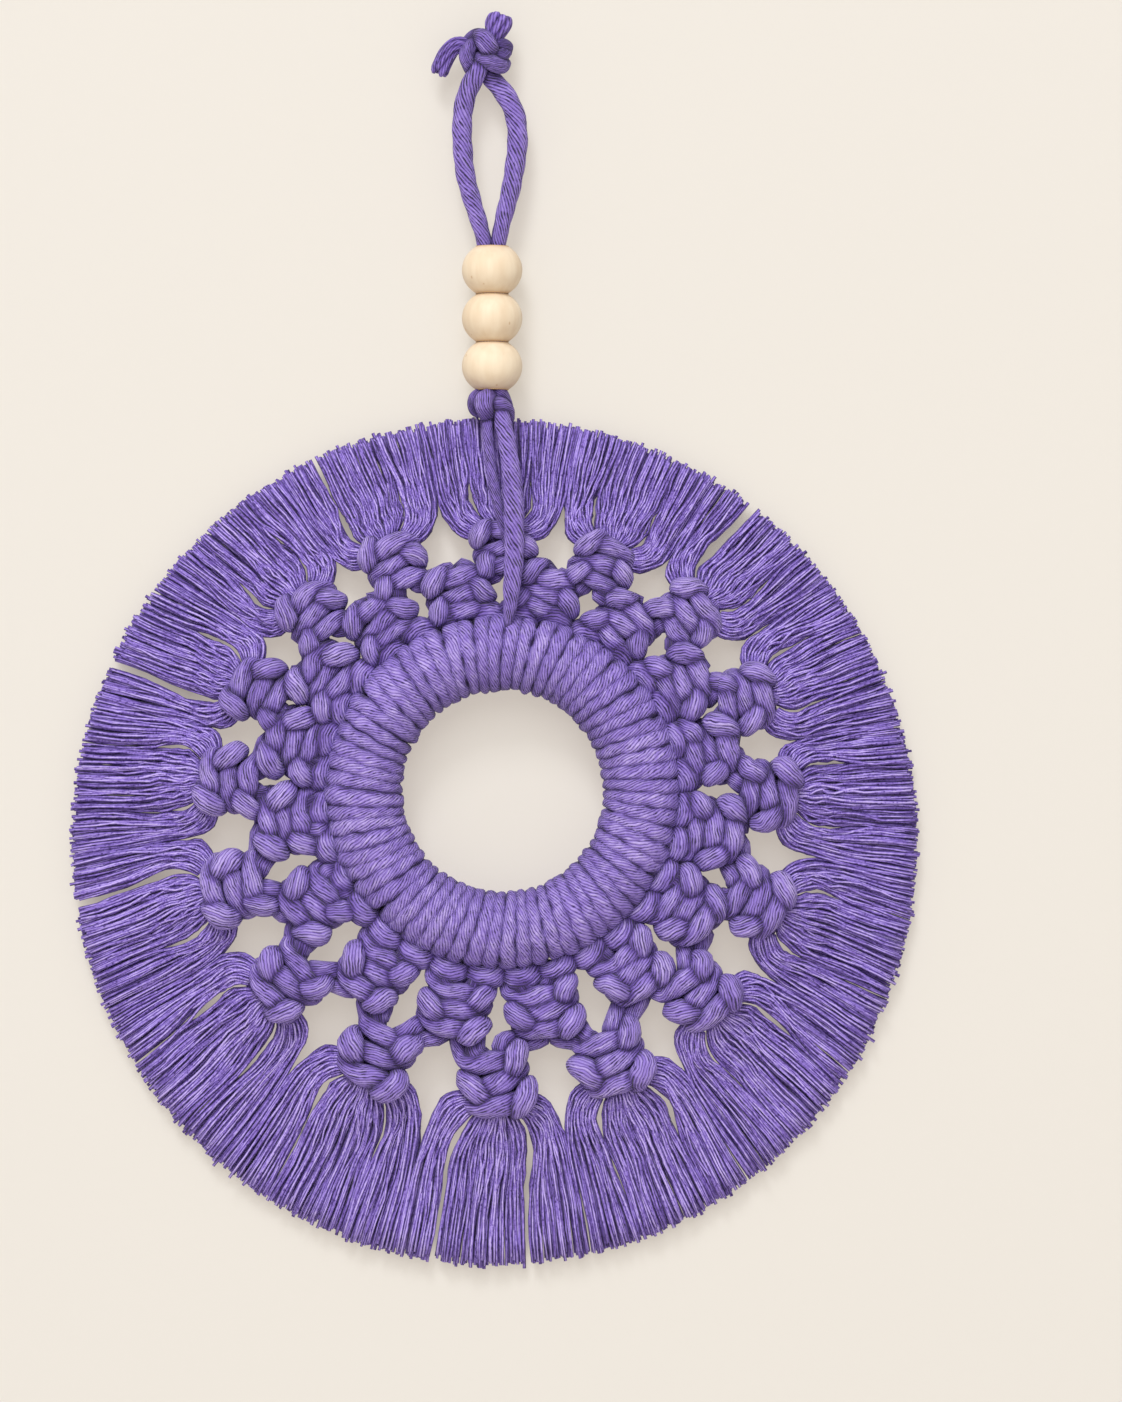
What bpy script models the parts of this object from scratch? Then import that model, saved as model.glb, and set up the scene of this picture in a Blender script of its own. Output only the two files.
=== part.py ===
"""Macrame wall hanging: a wrapped ring, a net of square knots, a round fringe and a beaded loop.

The work hangs in the XZ plane with its back to the wall and its front to -Y. Metres, +Z up.
The origin is the middle of the cord at the top of the hanging loop. Depths in this file are
measured from the wall, and each finished piece is set back so that the origin lies in the loop.
Angles round the ring are in degrees from straight down, growing towards +X.
"""
import math

import bmesh
import bpy
import numpy as np
from mathutils import Vector

MM = 0.001
GAP = 0.3 * MM                       # left between neighbouring pieces
LOOP_FROM_WALL = 4.5 * MM            # the loop's top, in front of the wall

# Ring
RING_CENTRE = Vector((3.4, -6.9, -125.8)) * MM
RING_MID_RADIUS = 24.4 * MM
RING_TUBE_RADIUS = 6.5 * MM          # over the crests of the wraps
WRAPS = 64                           # two for each lark's head
WRAP_GROOVE = 0.6 * MM
WRAP_LEAN = 1.6                      # degrees that a wrap leans from the hole to the rim
WRAP_TURNS = (34.0, 66.0, 98.0, 138.0, 180.0, 222.0, 262.0, 294.0, 326.0)   # section, from the rim
CREASE_TURN = 14.0                   # where the wraps meet the bar, in degrees from the rim
CREASE_SHARE = 0.95
BAR_RADIUS = 32.7 * MM               # middle of the row of bars, from the ring's centre
BAR_RADIUS_DRIFT = 0.6 * MM          # further out at the bottom and nearer at the top
BAR_REACH = 1.7 * MM
BAR_REACH_DRIFT = 0.2 * MM
BAR_NECK = 0.7                       # a bar's size where it meets the next, as a share

# Net
NET_Y = -5.3 * MM                    # middle of the knots
KNOT_SIDES = 10                      # even, so that one point is in front and one behind
INNER_REFERENCE = 39.7 * MM          # radius at which an inner knot has its full size
OUTER_REFERENCE = 52.0 * MM
KNOT_CLEARANCE = 0.4 * MM            # from the bars to the inner knots
KNOT_SQUARENESS = 0.8                # exponent of the knot's section: 1 is an ellipse
FORK_DEPTH = 0.5 * MM                # from a knot's end to the point between its strand pairs
LEG_RUN = 2.7 * MM                   # least way outwards from an inner to an outer knot
LEG_BEND = 6.0 * MM                  # how stiffly a strand pair leaves its knots
LEG_HALF_WIDTH = 3.1 * MM
LEG_HALF_DEPTH = 3.4 * MM

# Fringe
TRIM_RADIUS = 75.5 * MM
TRIM_CENTRE = Vector((-1.5, 0.0, -9.2)) * MM     # from the ring's centre
LOCKS = 11                           # in each group: 3 left, 5 middle, 3 right
SIDE_LOCKS = 3
STRIP_THICKNESS = 1.3 * MM
ROOT_FRONT, ROOT_BACK = -7.3 * MM, -3.3 * MM     # depths of a lock's broad and narrow side
END_FRONT, END_BACK = -5.0 * MM, -2.6 * MM
LOCK_STEPS = (0.3, 0.62, 1.0)        # shares of a lock's way at which it has a section
LOCK_BEND = 3.2 * MM                 # how far a lock leaves its knot straight on
LOCK_SIDE_BEND = 1.0 * MM            # more than that beside the knot
LOCK_SETTLE = 0.55                   # share of its way that ends straight from the ring's centre
LENGTH_SPREAD = (-0.5 * MM, 0.3 * MM)            # unevenness of the trimmed edge
LIFT_SPREAD = (-0.25 * MM, 0.25 * MM)            # of the ends' depth
SLIT = 0.45                          # degrees between the locks of a group at the trimmed end
GROUP_GAP = 0.22                     # degrees kept clear at each side of a group
LOCK_SHRINK = 0.14                   # share of a lock's width that is left open beside it

# Hanging cord and beads
HANG_Y = -5.8 * MM
BEAD_X = 1.5 * MM
BEAD_TOP_Z = -28.4 * MM
BEAD_PITCH = 8.6 * MM
BEAD_RADIUS = 5.4 * MM
BEAD_BORE = 2.75 * MM
BEAD_FLAT = 2.95 * MM                # radius of the flat rim round the bore
BEADS = 3
BEAD_STEPS = 16
BEAD_PROFILE_STEPS = 8
STEM_RADIUS = BEAD_BORE - GAP
STEM_SIDES = 12
STEM_RISE = 0.9 * MM                 # above the top bead
CORD_STEP = 1.7 * MM                 # between a cord's sections
TWIST_PITCH = 26.0 * MM              # one turn of the cord's plies
TWIST_LOBES = 4
TWIST_DEPTH = 0.14                   # share of the radius
KNOT_RELIEF = 0.11                   # share of the knot's half size
WOUND_SIDES, WOUND_ROWS = 14, 9

# Each knot's middle: degrees from straight down, and distance from the ring's centre in mm.
INNER_KNOTS = [
    # angle, radius
    (10.6, 39.7),
    (35.6, 39.5),
    (57.3, 39.0),
    (79.2, 38.3),
    (101.0, 37.6),
    (121.2, 37.2),
    (144.0, 36.5),
    (167.6, 36.0),
    (192.7, 35.9),
    (215.6, 36.9),
    (237.3, 37.6),
    (256.9, 38.3),
    (277.8, 39.2),
    (300.5, 39.4),
    (324.5, 39.7),
    (347.5, 39.7),
]
OUTER_KNOTS = [
    # angle, radius
    (-1.2, 51.9),
    (22.0, 52.0),
    (44.0, 50.5),
    (66.3, 49.4),
    (89.5, 47.3),
    (110.8, 46.2),
    (133.4, 45.4),
    (156.1, 43.9),
    (180.0, 43.3),
    (205.4, 44.9),
    (226.9, 46.0),
    (247.5, 46.8),
    (267.7, 48.8),
    (289.5, 50.8),
    (311.3, 51.4),
    (334.4, 52.2),
]

# A knot's stations from its inner to its outer end, in mm at full size. The stations spread
# evenly where a knot has more or less room than that.
INNER_STATIONS = [
    # along, half width, half depth, left loop, right loops
    (-3.7, 4.7, 3.0, 0.0, 0.0),
    (-2.9, 5.6, 4.0, 0.1, 0.4),
    (-1.9, 5.7, 3.2, 0.4, 0.7),
    (-0.8, 5.7, 4.1, 0.6, 0.1),
    (0.3, 5.7, 3.3, 0.5, 0.3),
    (1.4, 5.6, 4.1, 0.2, 0.7),
    (2.2, 5.3, 3.2, 0.0, 0.4),
    (2.9, 4.8, 3.6, 0.0, 0.0),
]
OUTER_STATIONS = [
    (-5.0, 4.8, 3.4, 0.0, 0.0),
    (-3.9, 5.5, 4.0, 0.0, 0.3),
    (-2.5, 5.8, 3.2, 0.3, 0.7),
    (-1.0, 6.0, 4.3, 0.7, 0.2),
    (0.5, 6.0, 3.3, 0.6, 0.1),
    (2.0, 5.9, 4.3, 0.2, 0.6),
    (3.5, 5.6, 3.3, 0.0, 0.6),
    (5.0, 4.9, 4.1, 0.0, 0.1),
    (6.3, 2.9, 2.8, 0.0, 0.0),
]
FORK_POINT = 0.8                     # mm by which a knot's middle reaches towards the fork
BAND_SLANT = 0.35                    # mm that a band rises from one side of a knot to the other

# The backing strip hugs the outer knot's end: half an ellipse, in mm at full size.
ARCH_HALF_WIDTH = 6.7
ARCH_DEPTH = 5.5
ARCH_TOP = 1.4                       # where its two ends stand, outwards from the knot's middle
ARCH_START = -12.0                   # degrees by which the strip starts above its own ends
ARCH_CLEARANCE = 0.45


def material(name, colour, roughness):
    """Principled material with the piece's own colour and roughness."""
    made = bpy.data.materials.new(name)
    made.use_nodes = True
    shader = made.node_tree.nodes["Principled BSDF"]
    shader.inputs["Base Color"].default_value = (*colour, 1.0)
    shader.inputs["Roughness"].default_value = roughness
    shader.inputs["Metallic"].default_value = 0.0
    return made


def finish(name, bm, finish_material, smooth_angle=40.0):
    """Turn the bmesh into a smooth-shaded object with its faces outwards."""
    bmesh.ops.translate(bm, vec=(0.0, LOOP_FROM_WALL, 0.0), verts=bm.verts)
    bmesh.ops.recalc_face_normals(bm, faces=bm.faces)
    mesh = bpy.data.meshes.new(name)
    bm.to_mesh(mesh)
    bm.free()
    mesh.shade_smooth()
    mesh.set_sharp_from_angle(angle=math.radians(smooth_angle))
    mesh.materials.append(finish_material)
    made = bpy.data.objects.new(name, mesh)
    bpy.context.scene.collection.objects.link(made)
    return made


def skin(bm, first, second):
    """Quads between two closed rings of as many points."""
    count = len(first)
    for i in range(count):
        j = (i + 1) % count
        bm.faces.new((first[i], first[j], second[j], second[i]))


def outward(angle):
    """Unit vector away from the ring's centre at an angle from straight down."""
    turn = math.radians(angle)
    return Vector((math.sin(turn), 0.0, -math.cos(turn)))


def sideways(angle):
    """Unit vector along the ring, towards growing angles."""
    turn = math.radians(angle)
    return Vector((math.cos(turn), 0.0, math.sin(turn)))


FRONT = Vector((0.0, -1.0, 0.0))
NET_CENTRE = Vector((RING_CENTRE.x, NET_Y, RING_CENTRE.z))


# ---------------------------------------------------------------- wrapped ring
def bar_row(angle):
    """Middle radius and half thickness of the row of bars at an angle."""
    low = math.cos(math.radians(angle))
    return BAR_RADIUS + BAR_RADIUS_DRIFT * low, BAR_REACH + BAR_REACH_DRIFT * low


def wrapped_ring(finish_material):
    """A torus whose section goes in and out once for each wrap, with the row of bars outside.

    Two stations a wrap, on its crest and in its groove. Four stations make one lark's head,
    and the bar is thin at the first of them and full at the other three.
    """
    bm = bmesh.new()
    stations = WRAPS * 2
    crease = math.radians(CREASE_TURN)
    rings = []
    for i in range(stations):
        reach = RING_TUBE_RADIUS - (WRAP_GROOVE if i % 2 else 0.0)
        bar_radius, bar = bar_row(360.0 * i / stations)
        bar *= BAR_NECK if i % 4 == 0 else 1.0
        bar_offset = bar_radius - RING_MID_RADIUS
        crease_along = math.cos(crease) * reach * CREASE_SHARE
        crease_depth = math.sin(crease) * reach * CREASE_SHARE
        section = [(bar_offset + bar, 0.0), (bar_offset, bar), (crease_along, crease_depth)]
        for turn in WRAP_TURNS:
            section.append((math.cos(math.radians(turn)) * reach,
                            math.sin(math.radians(turn)) * reach))
        section += [(crease_along, -crease_depth), (bar_offset, -bar)]
        ring = []
        for along, depth in section:
            angle = 360.0 * i / stations - WRAP_LEAN * along / RING_TUBE_RADIUS
            place = RING_CENTRE + outward(angle) * (RING_MID_RADIUS + along) + FRONT * depth
            ring.append(bm.verts.new(place))
        rings.append(ring)
    for i in range(stations):
        skin(bm, rings[i], rings[(i + 1) % stations])
    return finish("wrapped_ring", bm, finish_material, 50.0)


# ---------------------------------------------------------------- net of knots
def arch_room(radius, size):
    """Half the width that a knot may have at each distance from the ring's centre, in mm."""
    def room(distance):
        depth = (distance - radius) / (size * MM) - ARCH_TOP
        share = min(max(depth / ARCH_DEPTH, 0.0), 1.0)
        return ARCH_HALF_WIDTH * math.sqrt(1.0 - share * share) - ARCH_CLEARANCE
    return room


def knot_rings(bm, angle, start, end, size, stations, fork_at, room=None):
    """Rings of one square knot, from its inner end at radius start to its outer one at end.

    Each ring is a rounded box; bands show as deeper and shallower rings, loops as bulges of
    the left or the right side. No point goes wider than the room there. The station where
    the strand pairs part has its middle drawn out towards them.
    """
    stretch = (end - start) / ((stations[-1][0] - stations[0][0]) * size * MM)
    base = start - stations[0][0] * stretch * size * MM
    middle = NET_CENTRE + outward(angle) * base
    across, along = sideways(angle), outward(angle)
    rings = []
    for index, (w, half_width, half_depth, left, right) in enumerate(stations):
        slant = BAND_SLANT if 0 < index < len(stations) - 1 else 0.0
        fork = FORK_POINT if w == fork_at else 0.0
        ring = []
        for k in range(KNOT_SIDES):
            turn = math.radians(90.0 + 360.0 * k / KNOT_SIDES)
            c, s = math.cos(turn), math.sin(turn)
            bulge = left if c < 0 else right
            u = math.copysign(abs(c) ** KNOT_SQUARENESS, c) * (half_width + bulge)
            f = math.copysign(abs(s) ** KNOT_SQUARENESS, s) * half_depth
            lift = w * stretch - slant * c * (1 if index % 2 else -1)
            lift += math.copysign(fork, w) * (1.0 - abs(c))
            if room:
                widest = room(base + (lift + abs(slant)) * size * MM)
                u = min(max(u, -widest), widest)
            place = middle + (across * u + along * lift + FRONT * f) * size * MM
            ring.append(bm.verts.new(place))
        rings.append(ring)
    for first, second in zip(rings, rings[1:]):
        skin(bm, first, second)
    return rings


def crotch(bm, ring, direction, rise):
    """The point between the two strand pairs that leave or enter a knot's end."""
    half = KNOT_SIDES // 2
    middle = (ring[0].co + ring[half].co) / 2
    return bm.verts.new(middle + direction * rise)


def leg(bm, start, start_angle, end, end_angle):
    """One strand pair from an inner to an outer knot: seven points at each end and at its waist.

    The pair leaves one knot outwards and enters the next outwards, so its middle runs mostly
    along the ring. A waist point's turn about the pair is the mean of its turns at both ends.
    """
    a = sum((v.co for v in start), Vector()) / len(start)
    b = sum((v.co for v in end), Vector()) / len(end)
    out = outward((start_angle + end_angle) / 2)
    direction = ((b - a) * 1.5 - out * (LEG_BEND / 2)).normalized()
    right = FRONT.cross(direction)
    waist = []
    for p, q in zip(start, end):
        first = math.atan2((p.co - a).dot(FRONT), (p.co - a).dot(sideways(start_angle)))
        last = math.atan2((q.co - b).dot(FRONT), (q.co - b).dot(sideways(end_angle)))
        last += 2 * math.pi * round((first - last) / (2 * math.pi))
        turn = (first + last) / 2
        reach = right * (math.cos(turn) * LEG_HALF_WIDTH) + FRONT * (math.sin(turn) * LEG_HALF_DEPTH)
        waist.append(bm.verts.new((a + b) / 2 + reach))
    skin(bm, start, waist)
    skin(bm, waist, end)


def knotted_net(finish_material):
    """All inner and outer knots with the strands between them, as one closed body."""
    bm = bmesh.new()
    half = KNOT_SIDES // 2
    inner, outer = [], []
    inner_ends = []
    for angle, radius in INNER_KNOTS:
        size = radius * MM / INNER_REFERENCE
        bar_radius, bar_reach = bar_row(angle)
        start = bar_radius + bar_reach + KNOT_CLEARANCE
        inner_ends.append(radius * MM + INNER_STATIONS[-1][0] * size * MM)
        rings = knot_rings(bm, angle, start, inner_ends[-1], size, INNER_STATIONS,
                           INNER_STATIONS[-1][0])
        bm.faces.new(rings[0])
        fork = crotch(bm, rings[-1], outward(angle), FORK_DEPTH)
        inner.append((rings[-1], fork))
    for i, (angle, radius) in enumerate(OUTER_KNOTS):
        size = radius * MM / OUTER_REFERENCE
        start = radius * MM + OUTER_STATIONS[0][0] * size * MM
        start = max(start, inner_ends[i - 1] + LEG_RUN, inner_ends[i] + LEG_RUN)
        end = radius * MM + OUTER_STATIONS[-1][0] * size * MM
        room = arch_room(radius * MM, size)
        rings = knot_rings(bm, angle, start, end, size, OUTER_STATIONS, OUTER_STATIONS[0][0], room)
        bm.faces.new(rings[-1])
        fork = crotch(bm, rings[0], outward(angle), -FORK_DEPTH)
        outer.append((rings[0], fork))
    for i, (ring, fork) in enumerate(inner):
        left_of_inner = [fork] + ring[0:half + 1]
        right_of_inner = [fork] + [ring[0]] + ring[:half - 1:-1]
        # outer knot i lies to the left of inner knot i, outer knot i + 1 to its right
        ring_l, fork_l = outer[i]
        ring_r, fork_r = outer[(i + 1) % len(outer)]
        right_of_outer = [ring_l[8], ring_l[9], ring_l[0], fork_l, ring_l[5], ring_l[6], ring_l[7]]
        left_of_outer = [ring_r[2], ring_r[1], ring_r[0], fork_r, ring_r[5], ring_r[4], ring_r[3]]
        angle = INNER_KNOTS[i][0]
        angle_l = OUTER_KNOTS[i][0]
        angle_r = OUTER_KNOTS[(i + 1) % len(outer)][0] + (360.0 if i + 1 == len(outer) else 0.0)
        leg(bm, left_of_inner, angle, right_of_outer, angle_l)
        leg(bm, right_of_inner, angle, left_of_outer, angle_r)
    return finish("knotted_net", bm, finish_material, 60.0)


# ---------------------------------------------------------------- fringe
def trim_point(angle):
    """Where the line from the ring's centre at this angle meets the trimmed circle."""
    d = outward(angle)
    ahead = TRIM_CENTRE.dot(d)
    aside = TRIM_CENTRE.length_squared - ahead * ahead
    return d * (ahead + math.sqrt(TRIM_RADIUS * TRIM_RADIUS - aside))


def arch_point(angle, radius, size, share, extra):
    """Point and outward normal on the half ellipse round an outer knot's end.

    share runs from 0 at the left end to 1 at the right end; extra widens both half axes.
    """
    turn = math.radians(180.0 - ARCH_START - (180.0 - 2 * ARCH_START) * share)
    a = ARCH_HALF_WIDTH * MM * size + extra
    b = ARCH_DEPTH * MM * size + extra
    u, w = a * math.cos(turn), b * math.sin(turn)
    place = outward(angle) * (radius + ARCH_TOP * MM * size + w) + sideways(angle) * u
    normal = outward(angle) * (w / (b * b)) + sideways(angle) * (u / (a * a))
    return place, normal.normalized()


def kept_between(place, low, high):
    """The same distance from the ring's centre, turned back into the group's own sector."""
    distance = place.length
    clear = math.degrees(GAP / distance)
    middle = (low + high) / 2
    angle = math.degrees(math.atan2(place.dot(sideways(middle)), place.dot(outward(middle))))
    angle = min(max(middle + angle, low + clear), high - clear)
    return outward(angle) * distance


def bezier(start, first_handle, last_handle, end, share):
    """Point at a share of the cubic curve through start and end."""
    rest = 1.0 - share
    return (start * rest ** 3 + first_handle * (3 * share * rest ** 2)
            + last_handle * (3 * share ** 2 * rest) + end * share ** 3)


def fringe_group(number, low, high, rng, finish_material):
    """Backing strip round one outer knot's end with its three-sided locks.

    The strip's outer side is a row of triangles, each the root of one lock. A lock follows a
    Bezier curve from the strip's normal to the line from the ring's centre, and ends on the
    trimmed circle. Locks with their broad side in front and behind take turns.
    """
    angle, radius = OUTER_KNOTS[number]
    radius *= MM
    size = radius / OUTER_REFERENCE
    points = LOCKS + 2
    first_angle = low + GROUP_GAP + SLIT
    last_angle = high - GROUP_GAP - SLIT
    bm = bmesh.new()

    def strip_vertex(i, extra):
        place, _ = arch_point(angle, radius, size, i / (points - 1), extra)
        y = ROOT_BACK if i % 2 else ROOT_FRONT
        return bm.verts.new((RING_CENTRE.x + place.x, y, RING_CENTRE.z + place.z))

    inner = [strip_vertex(i, 0.0) for i in range(points)]
    outer = [strip_vertex(i, STRIP_THICKNESS) for i in range(points)]
    for i in range(points - 2):
        bm.faces.new((inner[i], inner[i + 1], inner[i + 2]))
        bm.faces.new((inner[i], inner[i + 2], outer[i + 2], outer[i]))
    bm.faces.new((inner[0], inner[1], outer[1], outer[0]))
    bm.faces.new((inner[-2], inner[-1], outer[-1], outer[-2]))

    for lock in range(LOCKS):
        side = -1 if lock < SIDE_LOCKS else (1 if lock >= LOCKS - SIDE_LOCKS else 0)
        length = rng.uniform(*LENGTH_SPREAD)
        lift = rng.uniform(*LIFT_SPREAD)
        rings = [[outer[lock], outer[lock + 1], outer[lock + 2]]]
        for step in LOCK_STEPS:
            ring = []
            for corner in (-1, 0, 1):
                share = (lock + 1 + corner * (1 - LOCK_SHRINK)) / (points - 1)
                root, normal = arch_point(angle, radius, size, share, STRIP_THICKNESS)
                end_angle = first_angle + (last_angle - first_angle) * share + side * SLIT
                end = trim_point(end_angle) + outward(end_angle) * length
                bend = LOCK_BEND + LOCK_SIDE_BEND * abs(2 * share - 1)
                settle = outward(end_angle) * (LOCK_SETTLE * (end - root).length)
                place = bezier(root, root + normal * (bend * size), end - settle, end, step)
                place = kept_between(place, low, high)
                behind = (lock + 1 + corner) % 2
                y_root = ROOT_BACK if behind else ROOT_FRONT
                y_end = END_BACK if behind else END_FRONT
                y = y_root + (y_end - y_root + lift) * step
                ring.append(bm.verts.new((RING_CENTRE.x + place.x, y, RING_CENTRE.z + place.z)))
            rings.append(ring)
        for first_ring, second_ring in zip(rings, rings[1:]):
            skin(bm, first_ring, second_ring)
        bm.faces.new(rings[-1])
    return finish(f"fringe_{number + 1:02d}", bm, finish_material, 35.0)


# ---------------------------------------------------------------- hanging cord and beads
def smooth_path(points, spacing):
    """Even steps along a Catmull-Rom curve through the points."""
    points = [Vector(p) * MM for p in points]
    ends = [points[0] * 2 - points[1]] + points + [points[-1] * 2 - points[-2]]
    dense = []
    for a, b, c, d in zip(ends, ends[1:], ends[2:], ends[3:]):
        for t in np.linspace(0.0, 1.0, 24, endpoint=False):
            dense.append((b * 2 + (c - a) * t + (a * 2 - b * 5 + c * 4 - d) * t * t
                          + (b * 3 - a - c * 3 + d) * t ** 3) / 2)
    dense.append(points[-1])
    walked = np.concatenate(([0.0], np.cumsum([(b - a).length for a, b in zip(dense, dense[1:])])))
    steps = max(2, round(walked[-1] / spacing)) + 1
    wanted = np.linspace(0.0, walked[-1], steps)
    columns = np.array(dense)
    return [Vector([np.interp(w, walked, columns[:, axis]) for axis in range(3)]) for w in wanted]


def twisted_cord(bm, path, radii):
    """A tube with lobes that turn round it once in a pitch, closed at both ends.

    radii is a table of shares of the way, and the tube's radius in mm at each of them.
    """
    sides = 2 * TWIST_LOBES
    shares, sizes = zip(*radii)
    up = FRONT
    walked = 0.0
    rings = []
    for i, place in enumerate(path):
        ahead = path[min(i + 1, len(path) - 1)] - path[max(i - 1, 0)]
        ahead.normalize()
        up = (up - ahead * up.dot(ahead)).normalized()
        across = ahead.cross(up)
        radius = float(np.interp(i / (len(path) - 1), shares, sizes)) * MM
        ring = []
        for k in range(sides):
            turn = 2 * math.pi * (k / sides + walked / TWIST_PITCH)
            reach = radius * (1.0 if k % 2 == 0 else 1.0 - TWIST_DEPTH)
            ring.append(bm.verts.new(place + across * math.cos(turn) * reach
                                     + up * math.sin(turn) * reach))
        rings.append(ring)
        if i + 1 < len(path):
            walked += (path[i + 1] - place).length
    for first, second in zip(rings, rings[1:]):
        skin(bm, first, second)
    bm.faces.new(rings[0])
    bm.faces.new(rings[-1])


def wound_knot(bm, middle, half_sizes, winds):
    """A rounded box of slanting wound strands.

    Its radius swells and sinks with the sine of a height that grows round the knot, so that
    the strands climb like a screw's thread.
    """
    middle = Vector(middle) * MM
    poles = []
    for sign in (-1, 1):
        poles.append(bm.verts.new(middle + Vector((0.0, 0.0, sign * half_sizes[2])) * MM))
    rings = []
    for r in range(1, WOUND_ROWS):
        polar = math.pi * r / WOUND_ROWS
        waist = math.sin(polar) ** 0.6
        height = math.copysign(abs(math.cos(polar)) ** 0.8, -math.cos(polar))
        ring = []
        for k in range(WOUND_SIDES):
            turn = 2 * math.pi * k / WOUND_SIDES
            swell = 1.0 + KNOT_RELIEF * math.sin(winds * polar + 2 * turn)
            ring.append(bm.verts.new(middle + Vector((
                waist * math.cos(turn) * half_sizes[0] * swell,
                waist * math.sin(turn) * half_sizes[1] * swell,
                height * half_sizes[2])) * MM))
        rings.append(ring)
    for first, second in zip(rings, rings[1:]):
        skin(bm, first, second)
    for k in range(WOUND_SIDES):
        j = (k + 1) % WOUND_SIDES
        bm.faces.new((poles[0], rings[0][k], rings[0][j]))
        bm.faces.new((poles[1], rings[-1][j], rings[-1][k]))


def join_to(target, pieces):
    """Union of the pieces with the target, by live Boolean modifiers."""
    for piece in pieces:
        piece.hide_render = True
        piece.display_type = "WIRE"
        union = target.modifiers.new("Join", "BOOLEAN")
        union.operation = "UNION"
        union.solver = "EXACT"
        union.object = piece
    return target


LOOP_PATH = [
    # x, y, z in mm: up the left side, through the top knot's foot, down the right side
    (0.6, -5.8, -28.6),
    (0.0, -5.8, -26.6),
    (-1.5, -5.6, -22.0),
    (-3.0, -5.3, -17.0),
    (-3.7, -5.0, -12.0),
    (-3.6, -4.8, -8.0),
    (-2.9, -4.6, -4.2),
    (-1.7, -4.5, -1.2),
    (0.0, -4.5, 0.0),
    (2.0, -4.5, -1.2),
    (3.9, -4.6, -4.2),
    (5.2, -4.8, -8.0),
    (5.9, -5.0, -12.0),
    (5.6, -5.3, -17.0),
    (4.3, -5.6, -22.0),
    (2.9, -5.8, -26.6),
    (2.4, -5.8, -28.6),
]
LOOP_RADII = [
    # share of the way, radius in mm
    (0.0, 1.2),
    (0.05, 1.45),
    (0.12, 1.8),
    (0.88, 1.8),
    (0.95, 1.45),
    (1.0, 1.2),
]
FRONT_CORD_PATH = [
    # x, y, z in mm: out of the under knot, down over the ring's wraps
    (3.3, -8.4, -59.9),
    (3.8, -9.6, -63.0),
    (4.8, -10.5, -69.0),
    (5.5, -11.1, -76.0),
    (5.5, -11.4, -83.0),
    (5.0, -11.4, -89.0),
    (4.7, -11.3, -94.6),
]
FRONT_CORD_RADII = [
    (0.0, 1.65),
    (0.7, 1.75),
    (1.0, 1.1),
]
BACK_CORD_PATH = [
    (0.3, -8.0, -60.2),
    (0.7, -8.9, -64.0),
    (1.3, -9.2, -68.5),
    (2.0, -9.5, -73.5),
]
BACK_CORD_RADII = [
    (0.0, 1.15),
    (1.0, 1.0),
]
LEFT_TAIL_PATH = [
    # x, y, z in mm: out of the top knot
    (-1.6, -4.6, 7.2),
    (-4.4, -4.5, 8.0),
    (-6.6, -4.3, 6.3),
    (-8.4, -4.0, 2.6),
]
LEFT_TAIL_RADII = [
    (0.0, 1.5),
    (1.0, 1.75),
]
RIGHT_TAIL_PATH = [
    (0.9, -4.6, 7.4),
    (2.0, -4.8, 10.0),
    (3.0, -5.0, 12.9),
]
RIGHT_TAIL_RADII = [
    (0.0, 1.6),
    (0.5, 2.1),
    (1.0, 2.6),
]
# The two overhand knots: middle, half width, depth and height in mm, and turns of their strands
TOP_KNOT_MIDDLE, TOP_KNOT_HALF, TOP_KNOT_WINDS = (0.4, -4.7, 6.0), (3.9, 3.6, 3.9), 7
UNDER_KNOT_MIDDLE, UNDER_KNOT_HALF, UNDER_KNOT_WINDS = (1.3, -6.9, -57.1), (3.7, 3.2, 2.55), 6


def cord_length(name, path, radii, finish_material):
    """One length of twisted cord."""
    bm = bmesh.new()
    twisted_cord(bm, smooth_path(path, CORD_STEP), radii)
    return finish(name, bm, finish_material)


def hanging_loop(finish_material):
    """The loop of twisted cord, with both sides pressed into one stem through the beads."""
    loop = cord_length("hanging_loop", LOOP_PATH, LOOP_RADII, finish_material)
    bm = bmesh.new()
    bottom = BEAD_TOP_Z - BEADS * BEAD_PITCH
    top = BEAD_TOP_Z + STEM_RISE
    bmesh.ops.create_cone(bm, cap_ends=True, segments=STEM_SIDES, radius1=STEM_RADIUS,
                          radius2=STEM_RADIUS, depth=top - bottom)
    bmesh.ops.translate(bm, vec=(BEAD_X, HANG_Y, (top + bottom) / 2), verts=bm.verts)
    stem = finish("stem_guide", bm, finish_material)
    return join_to(loop, [stem])


def top_knot(finish_material):
    """The overhand knot at the loop's top with its two frayed tail ends."""
    bm = bmesh.new()
    wound_knot(bm, TOP_KNOT_MIDDLE, TOP_KNOT_HALF, TOP_KNOT_WINDS)
    knot = finish("top_knot", bm, finish_material)
    left = cord_length("left_tail_guide", LEFT_TAIL_PATH, LEFT_TAIL_RADII, finish_material)
    right = cord_length("right_tail_guide", RIGHT_TAIL_PATH, RIGHT_TAIL_RADII, finish_material)
    return join_to(knot, [left, right])


def under_knot(finish_material):
    """The overhand knot that keeps the beads up."""
    bm = bmesh.new()
    wound_knot(bm, UNDER_KNOT_MIDDLE, UNDER_KNOT_HALF, UNDER_KNOT_WINDS)
    return finish("under_knot", bm, finish_material)


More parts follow.
